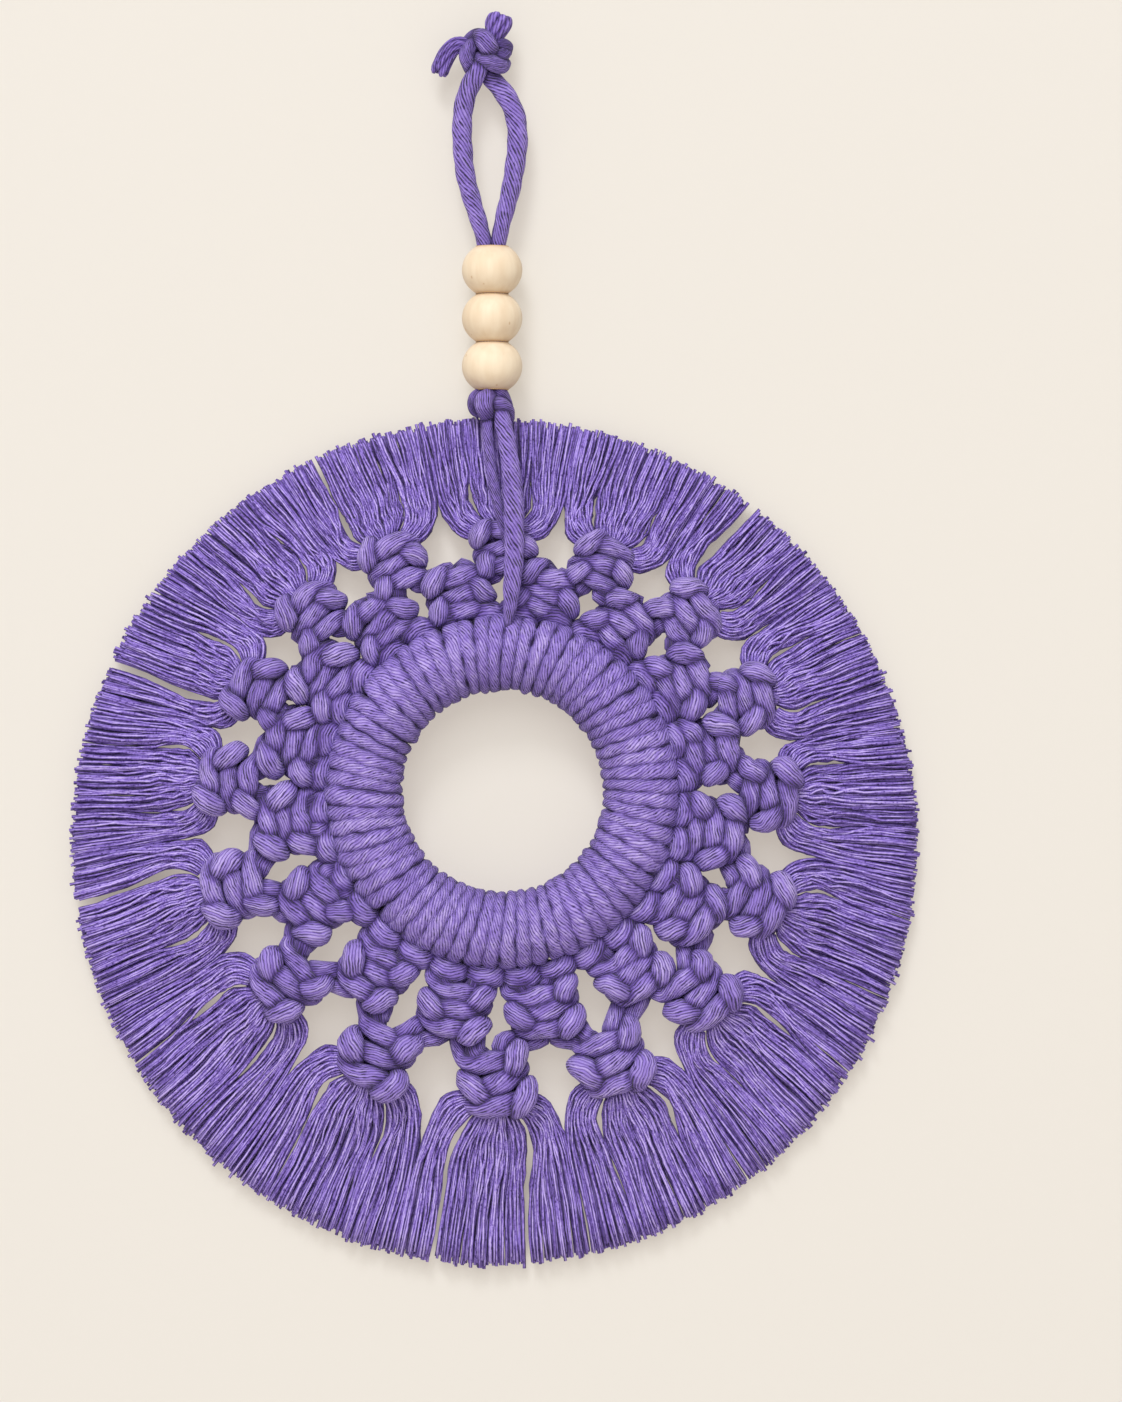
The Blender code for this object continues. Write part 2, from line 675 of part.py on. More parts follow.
def bead(number, finish_material):
    """A turned bead: a flattened ball with flat rims and a straight bore, spun from its profile."""
    bm = bmesh.new()
    half = (BEAD_PITCH - GAP) / 2
    middle_z = BEAD_TOP_Z - BEAD_PITCH * (number + 0.5)
    profile = [(BEAD_BORE, -half), (BEAD_FLAT, -half)]
    rim = math.acos(BEAD_FLAT / BEAD_RADIUS)
    for t in np.linspace(-rim, rim, BEAD_PROFILE_STEPS)[1:-1]:
        profile.append((BEAD_RADIUS * math.cos(t), half * math.sin(t) / math.sin(rim)))
    profile += [(BEAD_FLAT, half), (BEAD_BORE, half)]
    points = [bm.verts.new((BEAD_X + r, HANG_Y, middle_z + z)) for r, z in profile]
    edges = []
    for i, point in enumerate(points):
        edges.append(bm.edges.new((point, points[(i + 1) % len(points)])))
    bmesh.ops.spin(bm, geom=points + edges, cent=(BEAD_X, HANG_Y, middle_z), axis=(0, 0, 1),
                   angle=2 * math.pi, steps=BEAD_STEPS, use_merge=True)
    bmesh.ops.remove_doubles(bm, verts=bm.verts, dist=0.01 * MM)
    return finish(f"bead_{number + 1}", bm, finish_material)


def build():
    """Clear the scene and make every piece."""
    for old in list(bpy.data.objects):
        bpy.data.objects.remove(old, do_unlink=True)
    cotton = material("violet cotton cord", (0.17, 0.10, 0.42), 0.85)
    wood = material("pale turned wood", (0.78, 0.62, 0.42), 0.55)
    rng = np.random.default_rng(11)

    wrapped_ring(cotton)
    knotted_net(cotton)
    angles = [angle for angle, _ in OUTER_KNOTS]
    for number, angle in enumerate(angles):
        before = angles[number - 1] - (360.0 if number == 0 else 0.0)
        after = angles[(number + 1) % len(angles)] + (360.0 if number + 1 == len(angles) else 0.0)
        fringe_group(number, (before + angle) / 2, (angle + after) / 2, rng, cotton)
    hanging_loop(cotton)
    top_knot(cotton)
    under_knot(cotton)
    cord_length("front_cord", FRONT_CORD_PATH, FRONT_CORD_RADII, cotton)
    cord_length("back_cord", BACK_CORD_PATH, BACK_CORD_RADII, cotton)
    for number in range(BEADS):
        bead(number, wood)


build()
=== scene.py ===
"""Macrame wall hanging of violet cotton cord: the look of every piece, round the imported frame.

Metres, +Z up. The hanging faces -Y and the wall stands behind it, on the +Y side. Angles round
the ring are in degrees from straight down, growing towards +X.
"""

import bpy
import numpy as np
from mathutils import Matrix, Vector


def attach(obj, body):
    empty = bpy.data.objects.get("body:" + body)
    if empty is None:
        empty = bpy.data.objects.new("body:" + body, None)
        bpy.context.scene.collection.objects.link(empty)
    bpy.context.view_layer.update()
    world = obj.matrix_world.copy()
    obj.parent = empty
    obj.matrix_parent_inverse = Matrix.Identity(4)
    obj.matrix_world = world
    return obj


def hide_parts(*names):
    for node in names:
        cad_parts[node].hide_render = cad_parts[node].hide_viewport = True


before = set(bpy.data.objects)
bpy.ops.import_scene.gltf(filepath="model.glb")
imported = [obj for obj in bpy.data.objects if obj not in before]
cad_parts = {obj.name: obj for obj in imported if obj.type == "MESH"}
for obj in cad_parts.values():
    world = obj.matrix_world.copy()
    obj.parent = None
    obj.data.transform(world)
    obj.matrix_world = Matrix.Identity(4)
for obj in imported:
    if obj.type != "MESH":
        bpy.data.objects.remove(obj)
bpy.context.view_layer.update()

MM = 0.001
chance = np.random.default_rng(24)

# ---------------------------------------------------------------- wrapped ring
# A plain ring, wholly covered by 32 cords that are folded in half and hitched on with lark's
# heads: each gives two wraps round the ring, and its fold lies across them as a short bar just
# outside. The cord is soft cotton, 3.6 mm thick, of 25 yarns with an S twist.
RING_CENTRE = np.array((3.4, -2.4, -125.8)) * MM
RING_RADIUS = 24.8 * MM              # middle of the wrapped section
WRAPS = 64
WRAP_OUT = 5.45 * MM                 # from the section's middle to a wrap's, along the radius
WRAP_FRONT = 5.05 * MM               # and to the front and back
WRAP_HALF = 1.5 * MM                 # half a wrap's thickness
WRAP_PRESS = 1.26                    # a wrap's width as a share of the room that it has
WRAP_SQUARENESS = 0.85               # exponent of its section: 1 is an ellipse, less is boxier
WRAP_LEAN = 1.6                      # degrees from its middle to the rim, and again to the hole
WRAP_TWISTS = 2                      # turns of its yarns in one wrap
WRAP_YARNS = 20                      # as the wraps are pressed thin, fewer show on their fronts
WRAP_STATIONS = 44
CORD_SIDES = 20
PLIES = 4                            # soft lobes of the cord's section
PLY_DEPTH = 0.05                     # share of its half thickness, and more on the wraps
WRAP_PLY_DEPTH = 0.08
FRONT = np.array((0.0, -1.0, 0.0))

# How uneven the wraps are. Degrees of a wrap's place, its lean, its slow bend and its ripple,
# then shares of its reach and width.
WRAP_STRAY, WRAP_LEAN_STRAY, WRAP_BEND, WRAP_RIPPLE = 0.25, 0.45, 0.3, 0.2
WRAP_RIPPLES = 7                     # in one wrap
WRAP_LOOSE, WRAP_WIDTH_STRAY = 0.018, 0.08
WAVE_STARTS = 6.3                    # radians over which the waves' starts are spread
WRAP_TURNS_APART = 7.0               # from one wrap's yarns to the next one's, so that they differ

# Painted shades are changes of the cotton's brightness step. In the groove to the next wrap the
# painted shade comes and goes, and where the section turns away from the front and back, and the light
# falls past, it grows.
GROOVE_SHADE, GROOVE_SHADE_WIDTH = 0.72, 0.24 * MM
GROOVE_SHADE_EVEN, GROOVE_SHADE_WAVE, GROOVE_SHADE_WAVES = 0.6, 0.4, 9
EDGE_SHADE, EDGE_SHADE_POWER = 0.3, 1.6
WRAP_TONE, WRAP_TONE_STRAY = 0.015, 0.035


def outward(angle):
    """Unit vectors away from the ring's centre: x is the angle's sine, z less its cosine."""
    turn = np.radians(angle)
    return np.stack((np.sin(turn), np.zeros_like(turn), -np.cos(turn)), axis=-1)


def unit(vectors):
    """Vectors divided by their length."""
    return vectors / np.maximum(np.linalg.norm(vectors, axis=-1, keepdims=True), 1e-12)


def cord_grid(paths, tangents, up, wide, thick, turns, squareness=1.0, sides=CORD_SIDES,
              plies=PLY_DEPTH):
    """Points of cords carried along paths, as paths x stations x sides.

    A point is the path's own, plus wide times the cosine of its turn across the cord, plus thick
    times the sine of it along up; both are raised to the squareness, with their signs kept. The
    soft plies swell this by plies times the cosine of PLIES times the turn and the twist so far.
    """
    across = np.cross(up, tangents)
    turn = np.linspace(0.0, 2 * np.pi, sides, endpoint=False)
    c, s = np.cos(turn), np.sin(turn)
    c, s = np.sign(c) * np.abs(c) ** squareness, np.sign(s) * np.abs(s) ** squareness
    twist = turns[:, :paths.shape[1], None]
    swell = 1.0 + plies * np.cos(PLIES * (turn + 2 * np.pi * twist))
    return (paths[..., None, :] + across[..., None, :] * (wide[..., None] * c * swell)[..., None]
            + up[..., None, :] * (thick[..., None] * s * swell)[..., None])


def joined(name, grids, finish):
    """One mesh of all the grids: quads from station to station, and a fan over each open end.

    A grid is its points, the yarns' turns at its stations, and its points' painted shade and random
    brightness. One with a turn more than it has stations is closed: its last station joins its first.
    In the UV map yarns, u is the way round the cord and v is the turn, and a point attribute holds the
    painted shade and random brightness.
    """
    points, corners, sizes, uvs, painted_shades_and_tones = [], [], [], [], []
    base = 0
    for grid, turns, painted_shade_and_tone in grids:
        paths, stations, sides, _ = grid.shape
        closed = turns.shape[1] > stations
        index = base + np.arange(grid.size // 3).reshape(paths, stations, sides)
        here = index if closed else index[:, :-1]
        ahead = np.roll(index, -1, axis=1) if closed else index[:, 1:]
        quads = np.stack((here, np.roll(here, -1, 2), np.roll(ahead, -1, 2), ahead), axis=-1)
        u = np.stack((np.arange(sides), np.arange(sides) + 1), axis=-1) / sides
        u = np.broadcast_to(u[None, None][..., [0, 1, 1, 0]], quads.shape)
        v = np.stack((turns[:, :-1], turns[:, :-1], turns[:, 1:], turns[:, 1:]), axis=-1)
        v = np.broadcast_to(v[:, :, None], quads.shape)
        points.append(grid.reshape(-1, 3))
        corners.append(quads.reshape(-1))
        sizes.append(np.full(quads.size // 4, 4))
        uvs.append(np.stack((u, v), axis=-1).reshape(-1, 2))
        painted_shade_and_tone = np.broadcast_to(painted_shade_and_tone, (paths, stations, sides))
        painted_shades_and_tones.append(painted_shade_and_tone.reshape(-1))
        base += grid.size // 3
        for station, order in (() if closed else ((0, -1), (stations - 1, 1))):
            pole = base + np.arange(paths)
            rim = index[:, station]
            fan = np.stack((rim, np.roll(rim, -1, 1))[::order], axis=-1)
            fan = np.concatenate((np.repeat(pole[:, None, None], sides, 1), fan), axis=-1)
            points.append(grid[:, station].mean(axis=1))
            corners.append(fan.reshape(-1))
            sizes.append(np.full(fan.size // 3, 3))
            fan_u = np.broadcast_to(np.arange(sides)[None, :, None] / sides, fan.shape)
            fan_v = np.broadcast_to(turns[:, station][:, None, None], fan.shape)
            uvs.append(np.stack((fan_u, fan_v), axis=-1).reshape(-1, 2))
            painted_shades_and_tones.append(painted_shade_and_tone[:, station].mean(axis=1))
            base += paths
    corners, sizes = np.concatenate(corners), np.concatenate(sizes)
    mesh = bpy.data.meshes.new(name)
    mesh.vertices.add(base)
    mesh.vertices.foreach_set("co", np.concatenate(points).astype(np.float32).ravel())
    mesh.loops.add(len(corners))
    mesh.loops.foreach_set("vertex_index", corners.astype(np.int32))
    mesh.polygons.add(len(sizes))
    mesh.polygons.foreach_set("loop_start", (np.cumsum(sizes) - sizes).astype(np.int32))
    layer = mesh.uv_layers.new(name="yarns")
    layer.uv.foreach_set("vector", np.concatenate(uvs).astype(np.float32).ravel())
    shade = mesh.attributes.new("painted_shade_and_tone", "FLOAT", "POINT")
    shade.data.foreach_set("value", np.concatenate(painted_shades_and_tones).astype(np.float32))
    mesh.update(calc_edges=True)
    mesh.validate()
    mesh.shade_smooth()
    mesh.materials.append(finish)
    piece = bpy.data.objects.new(name, mesh)
    bpy.context.scene.collection.objects.link(piece)
    return piece


def maths(tree, operation, *values):
    """A Math node's output; each value is a number or another node's output."""
    node = tree.nodes.new("ShaderNodeMath")
    node.operation = operation
    for place, value in enumerate(values):
        if isinstance(value, (int, float)):
            node.inputs[place].default_value = value
        else:
            tree.links.new(value, node.inputs[place])
    return node.outputs[0]


def scaled(tree, value, factor):
    """A node's output times a number or another output."""
    return maths(tree, "MULTIPLY", value, factor)


def noise(tree, x, y, z, scale, detail=2.0):
    """A Noise node's value at the point that the three outputs or numbers give."""
    place = tree.nodes.new("ShaderNodeCombineXYZ")
    for socket, value in zip(place.inputs, (x, y, z)):
        if isinstance(value, (int, float)):
            socket.default_value = value
        else:
            tree.links.new(value, socket)
    node = tree.nodes.new("ShaderNodeTexNoise")
    node.inputs["Scale"].default_value = scale
    node.inputs["Detail"].default_value = detail
    tree.links.new(place.outputs[0], node.inputs["Vector"])
    return node.outputs["Fac"]


# Cotton colours by brightness step: the low steps are painted shade, in the yarns' grooves and the
# creases between cords.
COTTON_COLOURS = [
    # brightness step, red, green, blue
    (0.0, 0.024, 0.008, 0.085),
    (0.35, 0.106, 0.055, 0.310),
    (0.7, 0.275, 0.183, 0.630),
    (1.0, 0.510, 0.408, 0.820),
]
YARN_BEND_SCALE = 330.0              # bends of the yarns in a metre, about
YARN_BACK_POWER = 0.55               # below 1 the backs are broad and the grooves narrow
YARN_BACK_STEP = 0.82                # brightness step of a yarn's back
# An open groove is painted dark, as the shade in a gap between yarns.
OPEN_FROM = 0.41                     # noise at which a groove starts to open
OPEN_LEAST, OPEN_MOST = 0.45, 2.0
YARN_PLACE, GROOVE_PLACE = 3.7, 2.9  # way in the noise from one yarn or groove to the next
FIBRES_ACROSS, FIBRES_ALONG = 2.6, 9.0       # in a yarn's width, and in a turn
FIBRE_SCALE, FIBRE_DETAIL, FIBRE_SHARE = 1.6, 3.0, 0.6
YARN_SLICE, GROOVE_SLICE, FIBRE_SLICE = 0.0, 3.0, 5.0        # each noise is read at its own z


def cotton(name, yarns, groove_depth, wander, openness=4.6, dashes=14.0, flecks=5.0, paler=0.55):
    """Soft cotton, with its yarns side by side round the cord.

    Across the yarns, the place is their number times the sum of u and v, pushed aside by up to wander
    yarns by a slow noise. The size of its sine, to YARN_BACK_POWER, is 1 on a yarn's back and 0 in the
    grooves, and a noise for each groove, with dashes steps in a turn, opens it here and there into a
    dark dash. A noise drawn out along the yarns gives fibres, and a slow one for each yarn, with
    flecks steps in a turn, makes some paler. The result is the brightness step, which gives the bumps
    and picks the colour, so the grooves and dashes are painted shade; the points' painted shade and
    random brightness, from the mesh, are added to it for the colour.
    """
    made = bpy.data.materials.new(name)
    made.use_nodes = True
    tree = made.node_tree
    shader = tree.nodes["Principled BSDF"]
    solid = tree.nodes.new("ShaderNodeTexCoord")
    spot = tree.nodes.new("ShaderNodeSeparateXYZ")
    tree.links.new(solid.outputs["Object"], spot.inputs[0])
    uv = tree.nodes.new("ShaderNodeUVMap")
    uv.uv_map = "yarns"
    axes = tree.nodes.new("ShaderNodeSeparateXYZ")
    tree.links.new(uv.outputs[0], axes.inputs[0])
    u, v = axes.outputs[0], axes.outputs[1]
    slow = noise(tree, *spot.outputs, YARN_BEND_SCALE)
    place = scaled(tree, maths(tree, "ADD", u, v), float(yarns))
    place = maths(tree, "ADD", place, scaled(tree, slow, wander))
    back = maths(tree, "ABSOLUTE", maths(tree, "SINE", scaled(tree, place, np.pi)))
    groove = maths(tree, "SUBTRACT", 1.0, maths(tree, "POWER", back, YARN_BACK_POWER))
    yarn = maths(tree, "FLOORED_MODULO", maths(tree, "FLOOR", place), float(yarns))
    gap = maths(tree, "FLOORED_MODULO", maths(tree, "ROUND", place), float(yarns))
    pale = noise(tree, scaled(tree, yarn, YARN_PLACE), scaled(tree, v, flecks), YARN_SLICE, 1.0)
    opened = noise(tree, scaled(tree, gap, GROOVE_PLACE), scaled(tree, v, dashes), GROOVE_SLICE, 1.0)
    opened = scaled(tree, maths(tree, "SUBTRACT", opened, OPEN_FROM), openness)
    opened = maths(tree, "MINIMUM", maths(tree, "MAXIMUM", opened, OPEN_LEAST), OPEN_MOST)
    fibre = noise(tree, scaled(tree, place, FIBRES_ACROSS), scaled(tree, v, FIBRES_ALONG),
                  FIBRE_SLICE, FIBRE_SCALE, FIBRE_DETAIL)
    height = maths(tree, "SUBTRACT", YARN_BACK_STEP, scaled(tree, groove, opened))
    height = maths(tree, "ADD", height, scaled(tree, maths(tree, "SUBTRACT", pale, 0.5), paler))
    height = maths(tree, "ADD", height, scaled(tree, maths(tree, "SUBTRACT", fibre, 0.5), FIBRE_SHARE))
    ramp = tree.nodes.new("ShaderNodeValToRGB")
    for stop, (at, *colour) in enumerate(COTTON_COLOURS):
        element = ramp.color_ramp.elements[stop] if stop < 2 else ramp.color_ramp.elements.new(at)
        element.position = at
        element.color = (*colour, 1.0)
    painted_shade_and_tone = tree.nodes.new("ShaderNodeAttribute")
    painted_shade_and_tone.attribute_name = "painted_shade_and_tone"
    tree.links.new(maths(tree, "ADD", height, painted_shade_and_tone.outputs["Fac"]), ramp.inputs[0])
    tree.links.new(ramp.outputs[0], shader.inputs["Base Color"])
    bump = tree.nodes.new("ShaderNodeBump")
    bump.inputs["Strength"].default_value = 0.9
    bump.inputs["Distance"].default_value = groove_depth
    tree.links.new(height, bump.inputs["Height"])
    tree.links.new(bump.outputs[0], shader.inputs["Normal"])
    shader.inputs["Roughness"].default_value = 0.68
    shader.inputs["Specular IOR Level"].default_value = 0.4
    shader.inputs["Sheen Weight"].default_value = 0.2
    shader.inputs["Sheen Roughness"].default_value = 0.5
    shader.inputs["Sheen Tint"].default_value = (0.75, 0.68, 1.0, 1.0)
    return made


def wave_starts(count):
    """A random start for each of count waves, in radians."""
    return chance.random((count, 1)) * WAVE_STARTS


def ring_wraps():
    """Closed loops round the ring's section: their points, turns and painted shade.

    A point's angle is its wrap's, less the lean times the section's cosine, plus a slow bend and a
    ripple. A wrap is as wide as the room that the ring's length there leaves for each. The painted
    shade falls off exponentially with the way to the next wrap.
    """
    angle = (np.arange(WRAPS) + 0.5) * 360.0 / WRAPS + chance.normal(0.0, WRAP_STRAY, WRAPS)
    section = np.linspace(0.0, 2 * np.pi, WRAP_STATIONS, endpoint=False)
    lean = WRAP_LEAN + chance.normal(0.0, WRAP_LEAN_STRAY, (WRAPS, 1))
    wander = chance.normal(0.0, WRAP_BEND, (WRAPS, 1)) * np.sin(2 * section + wave_starts(WRAPS))
    wander = wander + WRAP_RIPPLE * np.sin(WRAP_RIPPLES * section + wave_starts(WRAPS))
    out = outward(angle[:, None] - lean * np.cos(section) + wander)
    aside, ahead = np.cos(section)[:, None], np.sin(section)[:, None]
    loose = 1.0 + chance.normal(0.0, WRAP_LOOSE, (WRAPS, 1, 1))
    paths = (RING_CENTRE + out * (RING_RADIUS + WRAP_OUT * loose * aside)
             + FRONT * WRAP_FRONT * loose * ahead)
    normal = unit(out * aside * WRAP_FRONT + FRONT * ahead * WRAP_OUT)
    tangents = unit(np.roll(paths, -1, 1) - np.roll(paths, 1, 1))
    up = unit(normal - tangents * np.sum(normal * tangents, axis=-1, keepdims=True))
    room = (RING_RADIUS + WRAP_OUT * np.cos(section)) * np.pi / WRAPS
    wide = room * WRAP_PRESS * (1.0 + chance.normal(0.0, WRAP_WIDTH_STRAY, (WRAPS, 1)))
    thick = np.full_like(wide, WRAP_HALF)
    turns = np.linspace(0.0, WRAP_TWISTS, WRAP_STATIONS + 1) + chance.random((WRAPS, 1))
    turns = turns + WRAP_TURNS_APART * np.arange(WRAPS)[:, None]
    points = cord_grid(paths, tangents, up, wide, thick, turns, squareness=WRAP_SQUARENESS,
                       plies=WRAP_PLY_DEPTH)
    side_turns = np.linspace(0.0, 2 * np.pi, CORD_SIDES, endpoint=False)
    between = room[..., None] - wide[..., None] * np.abs(np.cos(side_turns))
    uneven = np.sin(GROOVE_SHADE_WAVES * section + wave_starts(WRAPS))
    uneven = (GROOVE_SHADE_EVEN + GROOVE_SHADE_WAVE * uneven)[..., None]
    shade = -GROOVE_SHADE * uneven * np.exp(-np.maximum(between, 0.0) / GROOVE_SHADE_WIDTH)
    edge = (1.0 - np.abs(np.sin(section)))[:, None] ** EDGE_SHADE_POWER
    shade = shade + WRAP_TONE - EDGE_SHADE * edge
    shade = shade + chance.normal(0.0, WRAP_TONE_STRAY, (WRAPS, 1, 1))
    return points, turns, shade


wrap_cotton = cotton("violet cotton wraps", WRAP_YARNS, 0.55 * MM, 1.6, openness=4.4, dashes=20.0,
                     flecks=10.0, paler=0.7)
wraps = joined("wrapped_ring_cord", [ring_wraps()], wrap_cotton)
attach(wraps, "root")
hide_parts("wrapped_ring")

# ---------------------------------------------------------------- net of square knots
# Below the bars the 64 cord ends are tied in two rounds of square knots, 16 in each, with the
# outer round half a pitch on. A knot's two outer ends are worked in three half knots round the
# two inner ones, which only fill it. Ends that fill an inner knot work the next outer one.
NET_Y = -0.8 * MM                    # depth of the knots' middle
NET_CENTRE = np.array((RING_CENTRE[0], NET_Y, RING_CENTRE[2]))
NET_STATIONS = 100
CORD_YARNS = 25
CORD_PITCH = 36.0 * MM               # one turn of the yarns round the cord
INNER_REFERENCE = 39.7               # mm from the ring's centre, where a knot has its full size
OUTER_REFERENCE = 52.0
INNER_ROW = 2.95                     # mm from one half knot to the next
OUTER_ROW = 3.5
INNER_KNOTS = np.array([
    # degrees, mm from the ring's centre
    (10.6, 39.7), (35.6, 39.5), (57.3, 39.0), (79.2, 38.3),
    (101.0, 37.6), (121.2, 37.2), (144.0, 36.5), (167.6, 36.0),
    (192.7, 35.9), (215.6, 36.9), (237.3, 37.6), (256.9, 38.3),
    (277.8, 39.2), (300.5, 39.4), (324.5, 39.7), (347.5, 39.7),
])
OUTER_KNOTS = np.array([
    (-1.2, 51.9), (22.0, 52.0), (44.0, 50.5), (66.3, 49.4),
    (89.5, 47.3), (110.8, 46.2), (133.4, 45.4), (156.1, 43.9),
    (180.0, 43.3), (205.4, 44.9), (226.9, 46.0), (247.5, 46.8),
    (267.7, 48.8), (289.5, 50.8), (311.3, 51.4), (334.4, 52.2),
])
KNOT_TILT = 5.0                      # degrees, as are the tilts
INNER_TILTS = chance.normal(0.0, KNOT_TILT, len(INNER_KNOTS))
OUTER_TILTS = chance.normal(0.0, KNOT_TILT, len(OUTER_KNOTS))
# Ways of the four ends through a knot: across and in front in mm, outwards in rows, half
# thickness in mm. The left working end crosses the front of each row, and the right one lies
# over its turn, crosses behind, and comes up through the turn on the other side.
LEFT_WORKING = np.array([
    (-4.6, 0.9, -1.62, 1.74),
    (-3.6, 1.9, -1.22, 1.86),
    (-1.2, 2.8, -1.02, 1.98),
    (1.6, 2.7, -0.98, 1.98),
    (3.8, 1.2, -0.90, 1.67),
    (4.9, -0.4, -0.52, 1.61),
    (4.3, 0.9, -0.14, 1.74),
    (1.8, 2.6, -0.02, 1.98),
    (-1.4, 2.8, 0.02, 1.98),
    (-3.8, 1.2, 0.10, 1.67),
    (-4.9, -0.3, 0.50, 1.67),
    (-4.0, 1.3, 0.92, 1.92),
    (-1.6, 2.7, 1.12, 2.05),
    (1.4, 2.7, 1.06, 1.98),
    (3.6, 1.2, 1.08, 1.67),
    (5.0, -0.2, 1.20, 1.74),
])
RIGHT_WORKING = np.array([
    (5.1, 0.6, -1.64, 1.74),
    (5.1, 2.2, -1.40, 1.92),
    (4.4, 3.3, -1.04, 2.11),
    (3.2, 2.9, -0.66, 1.98),
    (2.1, 0.5, -0.46, 1.61),
    (0.8, -2.2, -0.40, 1.61),
    (-1.6, -2.3, -0.42, 1.61),
    (-4.0, -0.8, -0.54, 1.67),
    (-5.1, 1.5, -0.44, 1.92),
    (-4.6, 3.1, -0.06, 2.17),
    (-3.4, 3.0, 0.38, 2.05),
    (-2.2, 0.6, 0.62, 1.61),
    (-0.8, -2.2, 0.62, 1.61),
    (1.6, -2.3, 0.58, 1.61),
    (3.9, -0.8, 0.48, 1.67),
    (5.0, 1.5, 0.56, 1.92),
    (4.5, 3.2, 0.94, 2.17),
    (3.3, 2.9, 1.38, 2.05),
    (2.2, 0.6, 1.62, 1.61),
    (0.4, -2.1, 1.50, 1.61),
    (-2.2, -2.2, 1.30, 1.61),
    (-4.6, -0.4, 1.12, 1.74),
])
LEFT_FILLING = np.array([
    (-2.4, 2.0, -1.70, 1.86),
    (-1.5, 0.9, -1.30, 1.74),
    (-1.2, 0.2, -0.50, 1.74),
    (-1.2, 0.2, 0.50, 1.74),
    (-1.3, 0.1, 1.30, 1.74),
    (-1.5, 0.2, 1.75, 1.74),
])
RIGHT_FILLING = LEFT_FILLING * (-1.0, 1.0, 1.0, 1.0)
KNOT_SPREAD, KNOT_SPREAD_STRAY = 1.05, 0.03      # share of the tables' way across a knot
PLACE_STRAY = 0.22                   # mm, of each place in a knot
SOFT_THICKNESS, THICKNESS_STRAY = 0.97, 0.05     # how far the cord is pressed together
MEAN_HALF = 1.8                      # mm, and how much stronger than in the tables a cord is
PINCH = 1.55                         # pinched where it dives under another
FLATNESS = 0.95                      # of the cord's section, seen from the front
UNDER_BAR = 31.8                     # mm from the ring's centre, where the ends leave the bars
UNDER_BAR_FRONT, UNDER_BAR_HALF = 0.4, 1.6       # mm in front of the net's middle, half thickness
CURVE_STEPS = 16                     # points of a curve from one control point to the next
NET_TONE, NET_TONE_STRAY = 0.015, 0.03


def smooth_paths(points, stations):
    """Catmull-Rom curves through tables of control points, in even steps of their length.

    points has one row of control points for each path; its columns are x, y and z, and any
    others that change along the path.
    """
    first, last = 2 * points[:, :1] - points[:, 1:2], 2 * points[:, -1:] - points[:, -2:-1]
    ends = np.concatenate((first, points, last), axis=1)
    a, b, c, d = (ends[:, k:ends.shape[1] - 3 + k, None] for k in range(4))
    t = np.linspace(0.0, 1.0, CURVE_STEPS, endpoint=False)[:, None]
    dense = (2 * b + (c - a) * t + (2 * a - 5 * b + 4 * c - d) * t ** 2
             + (3 * b - a - 3 * c + d) * t ** 3) / 2
    dense = np.concatenate((dense.reshape(len(points), -1, points.shape[2]), points[:, -1:]), axis=1)
    steps = np.linalg.norm(np.diff(dense[..., :3], axis=1), axis=-1)
    way = np.concatenate((np.zeros((len(points), 1)), np.cumsum(steps, axis=1)), axis=1)
    even = np.empty((len(points), stations, points.shape[2]))
    for path in range(len(points)):
        wanted = np.linspace(0.0, way[path, -1], stations)
        for column in range(points.shape[2]):
            even[path, :, column] = np.interp(wanted, way[path], dense[path, :, column])
    return even


def carried_up(paths, start):
    """The paths' tangents, and a vector square to them, carried along without turning.

    At each station the vector loses the part that leans along the path there.
    """
    tangents = unit(np.gradient(paths, axis=1))
    up = np.empty_like(paths)
    carried = np.broadcast_to(start, tangents[:, 0].shape)
    for station in range(paths.shape[1]):
        tangent = tangents[:, station]
        carried = unit(carried - tangent * np.sum(carried * tangent, axis=-1, keepdims=True))
        up[:, station] = carried
    return tangents, up


def sideways(angle):
    """Unit vectors along the ring, towards growing angles."""
    turn = np.radians(angle)
    return np.stack((np.cos(turn), np.zeros_like(turn), np.sin(turn)), axis=-1)


def in_knot(ways, knots, tilts, row, reference):
    """Places of a table of ways in each knot, turned by its tilt, and half thicknesses, in metres."""
    size = (knots[:, 1] / reference)[:, None]
    tilt = np.radians(tilts)[:, None, None]
    out, side = outward(knots[:, 0])[:, None], sideways(knots[:, 0])[:, None]
    loose = KNOT_SPREAD + chance.normal(0.0, KNOT_SPREAD_STRAY, (len(knots), 1))
    along = (ways[:, 2] * row * size * MM)[..., None]
    across = (ways[:, 0] * size * loose * MM)[..., None]
    places = (NET_CENTRE + out * (knots[:, 1] * MM)[:, None, None]
              + out * (along * np.cos(tilt) + across * np.sin(tilt))
              + side * (across * np.cos(tilt) - along * np.sin(tilt))
              + FRONT * (ways[:, 1] * size * MM)[..., None])
    places = places + chance.normal(0.0, PLACE_STRAY, places.shape) * MM
    half = MEAN_HALF + (ways[:, 3] - MEAN_HALF) * PINCH
    soft = SOFT_THICKNESS + chance.normal(0.0, THICKNESS_STRAY, places.shape[:2])
    return np.concatenate((places, (half * size * soft * MM)[..., None]), axis=-1)


def from_bar(across, knots):
    """Where an end comes out from under the bars, on its way to an inner knot."""
    size = knots[:, 1] / INNER_REFERENCE
    place = (NET_CENTRE + outward(knots[:, 0]) * UNDER_BAR * MM
             + sideways(knots[:, 0]) * (across * size * MM)[:, None] + FRONT * UNDER_BAR_FRONT * MM)
    return np.concatenate((place, (UNDER_BAR_HALF * size * MM)[:, None]), axis=-1)[:, None]


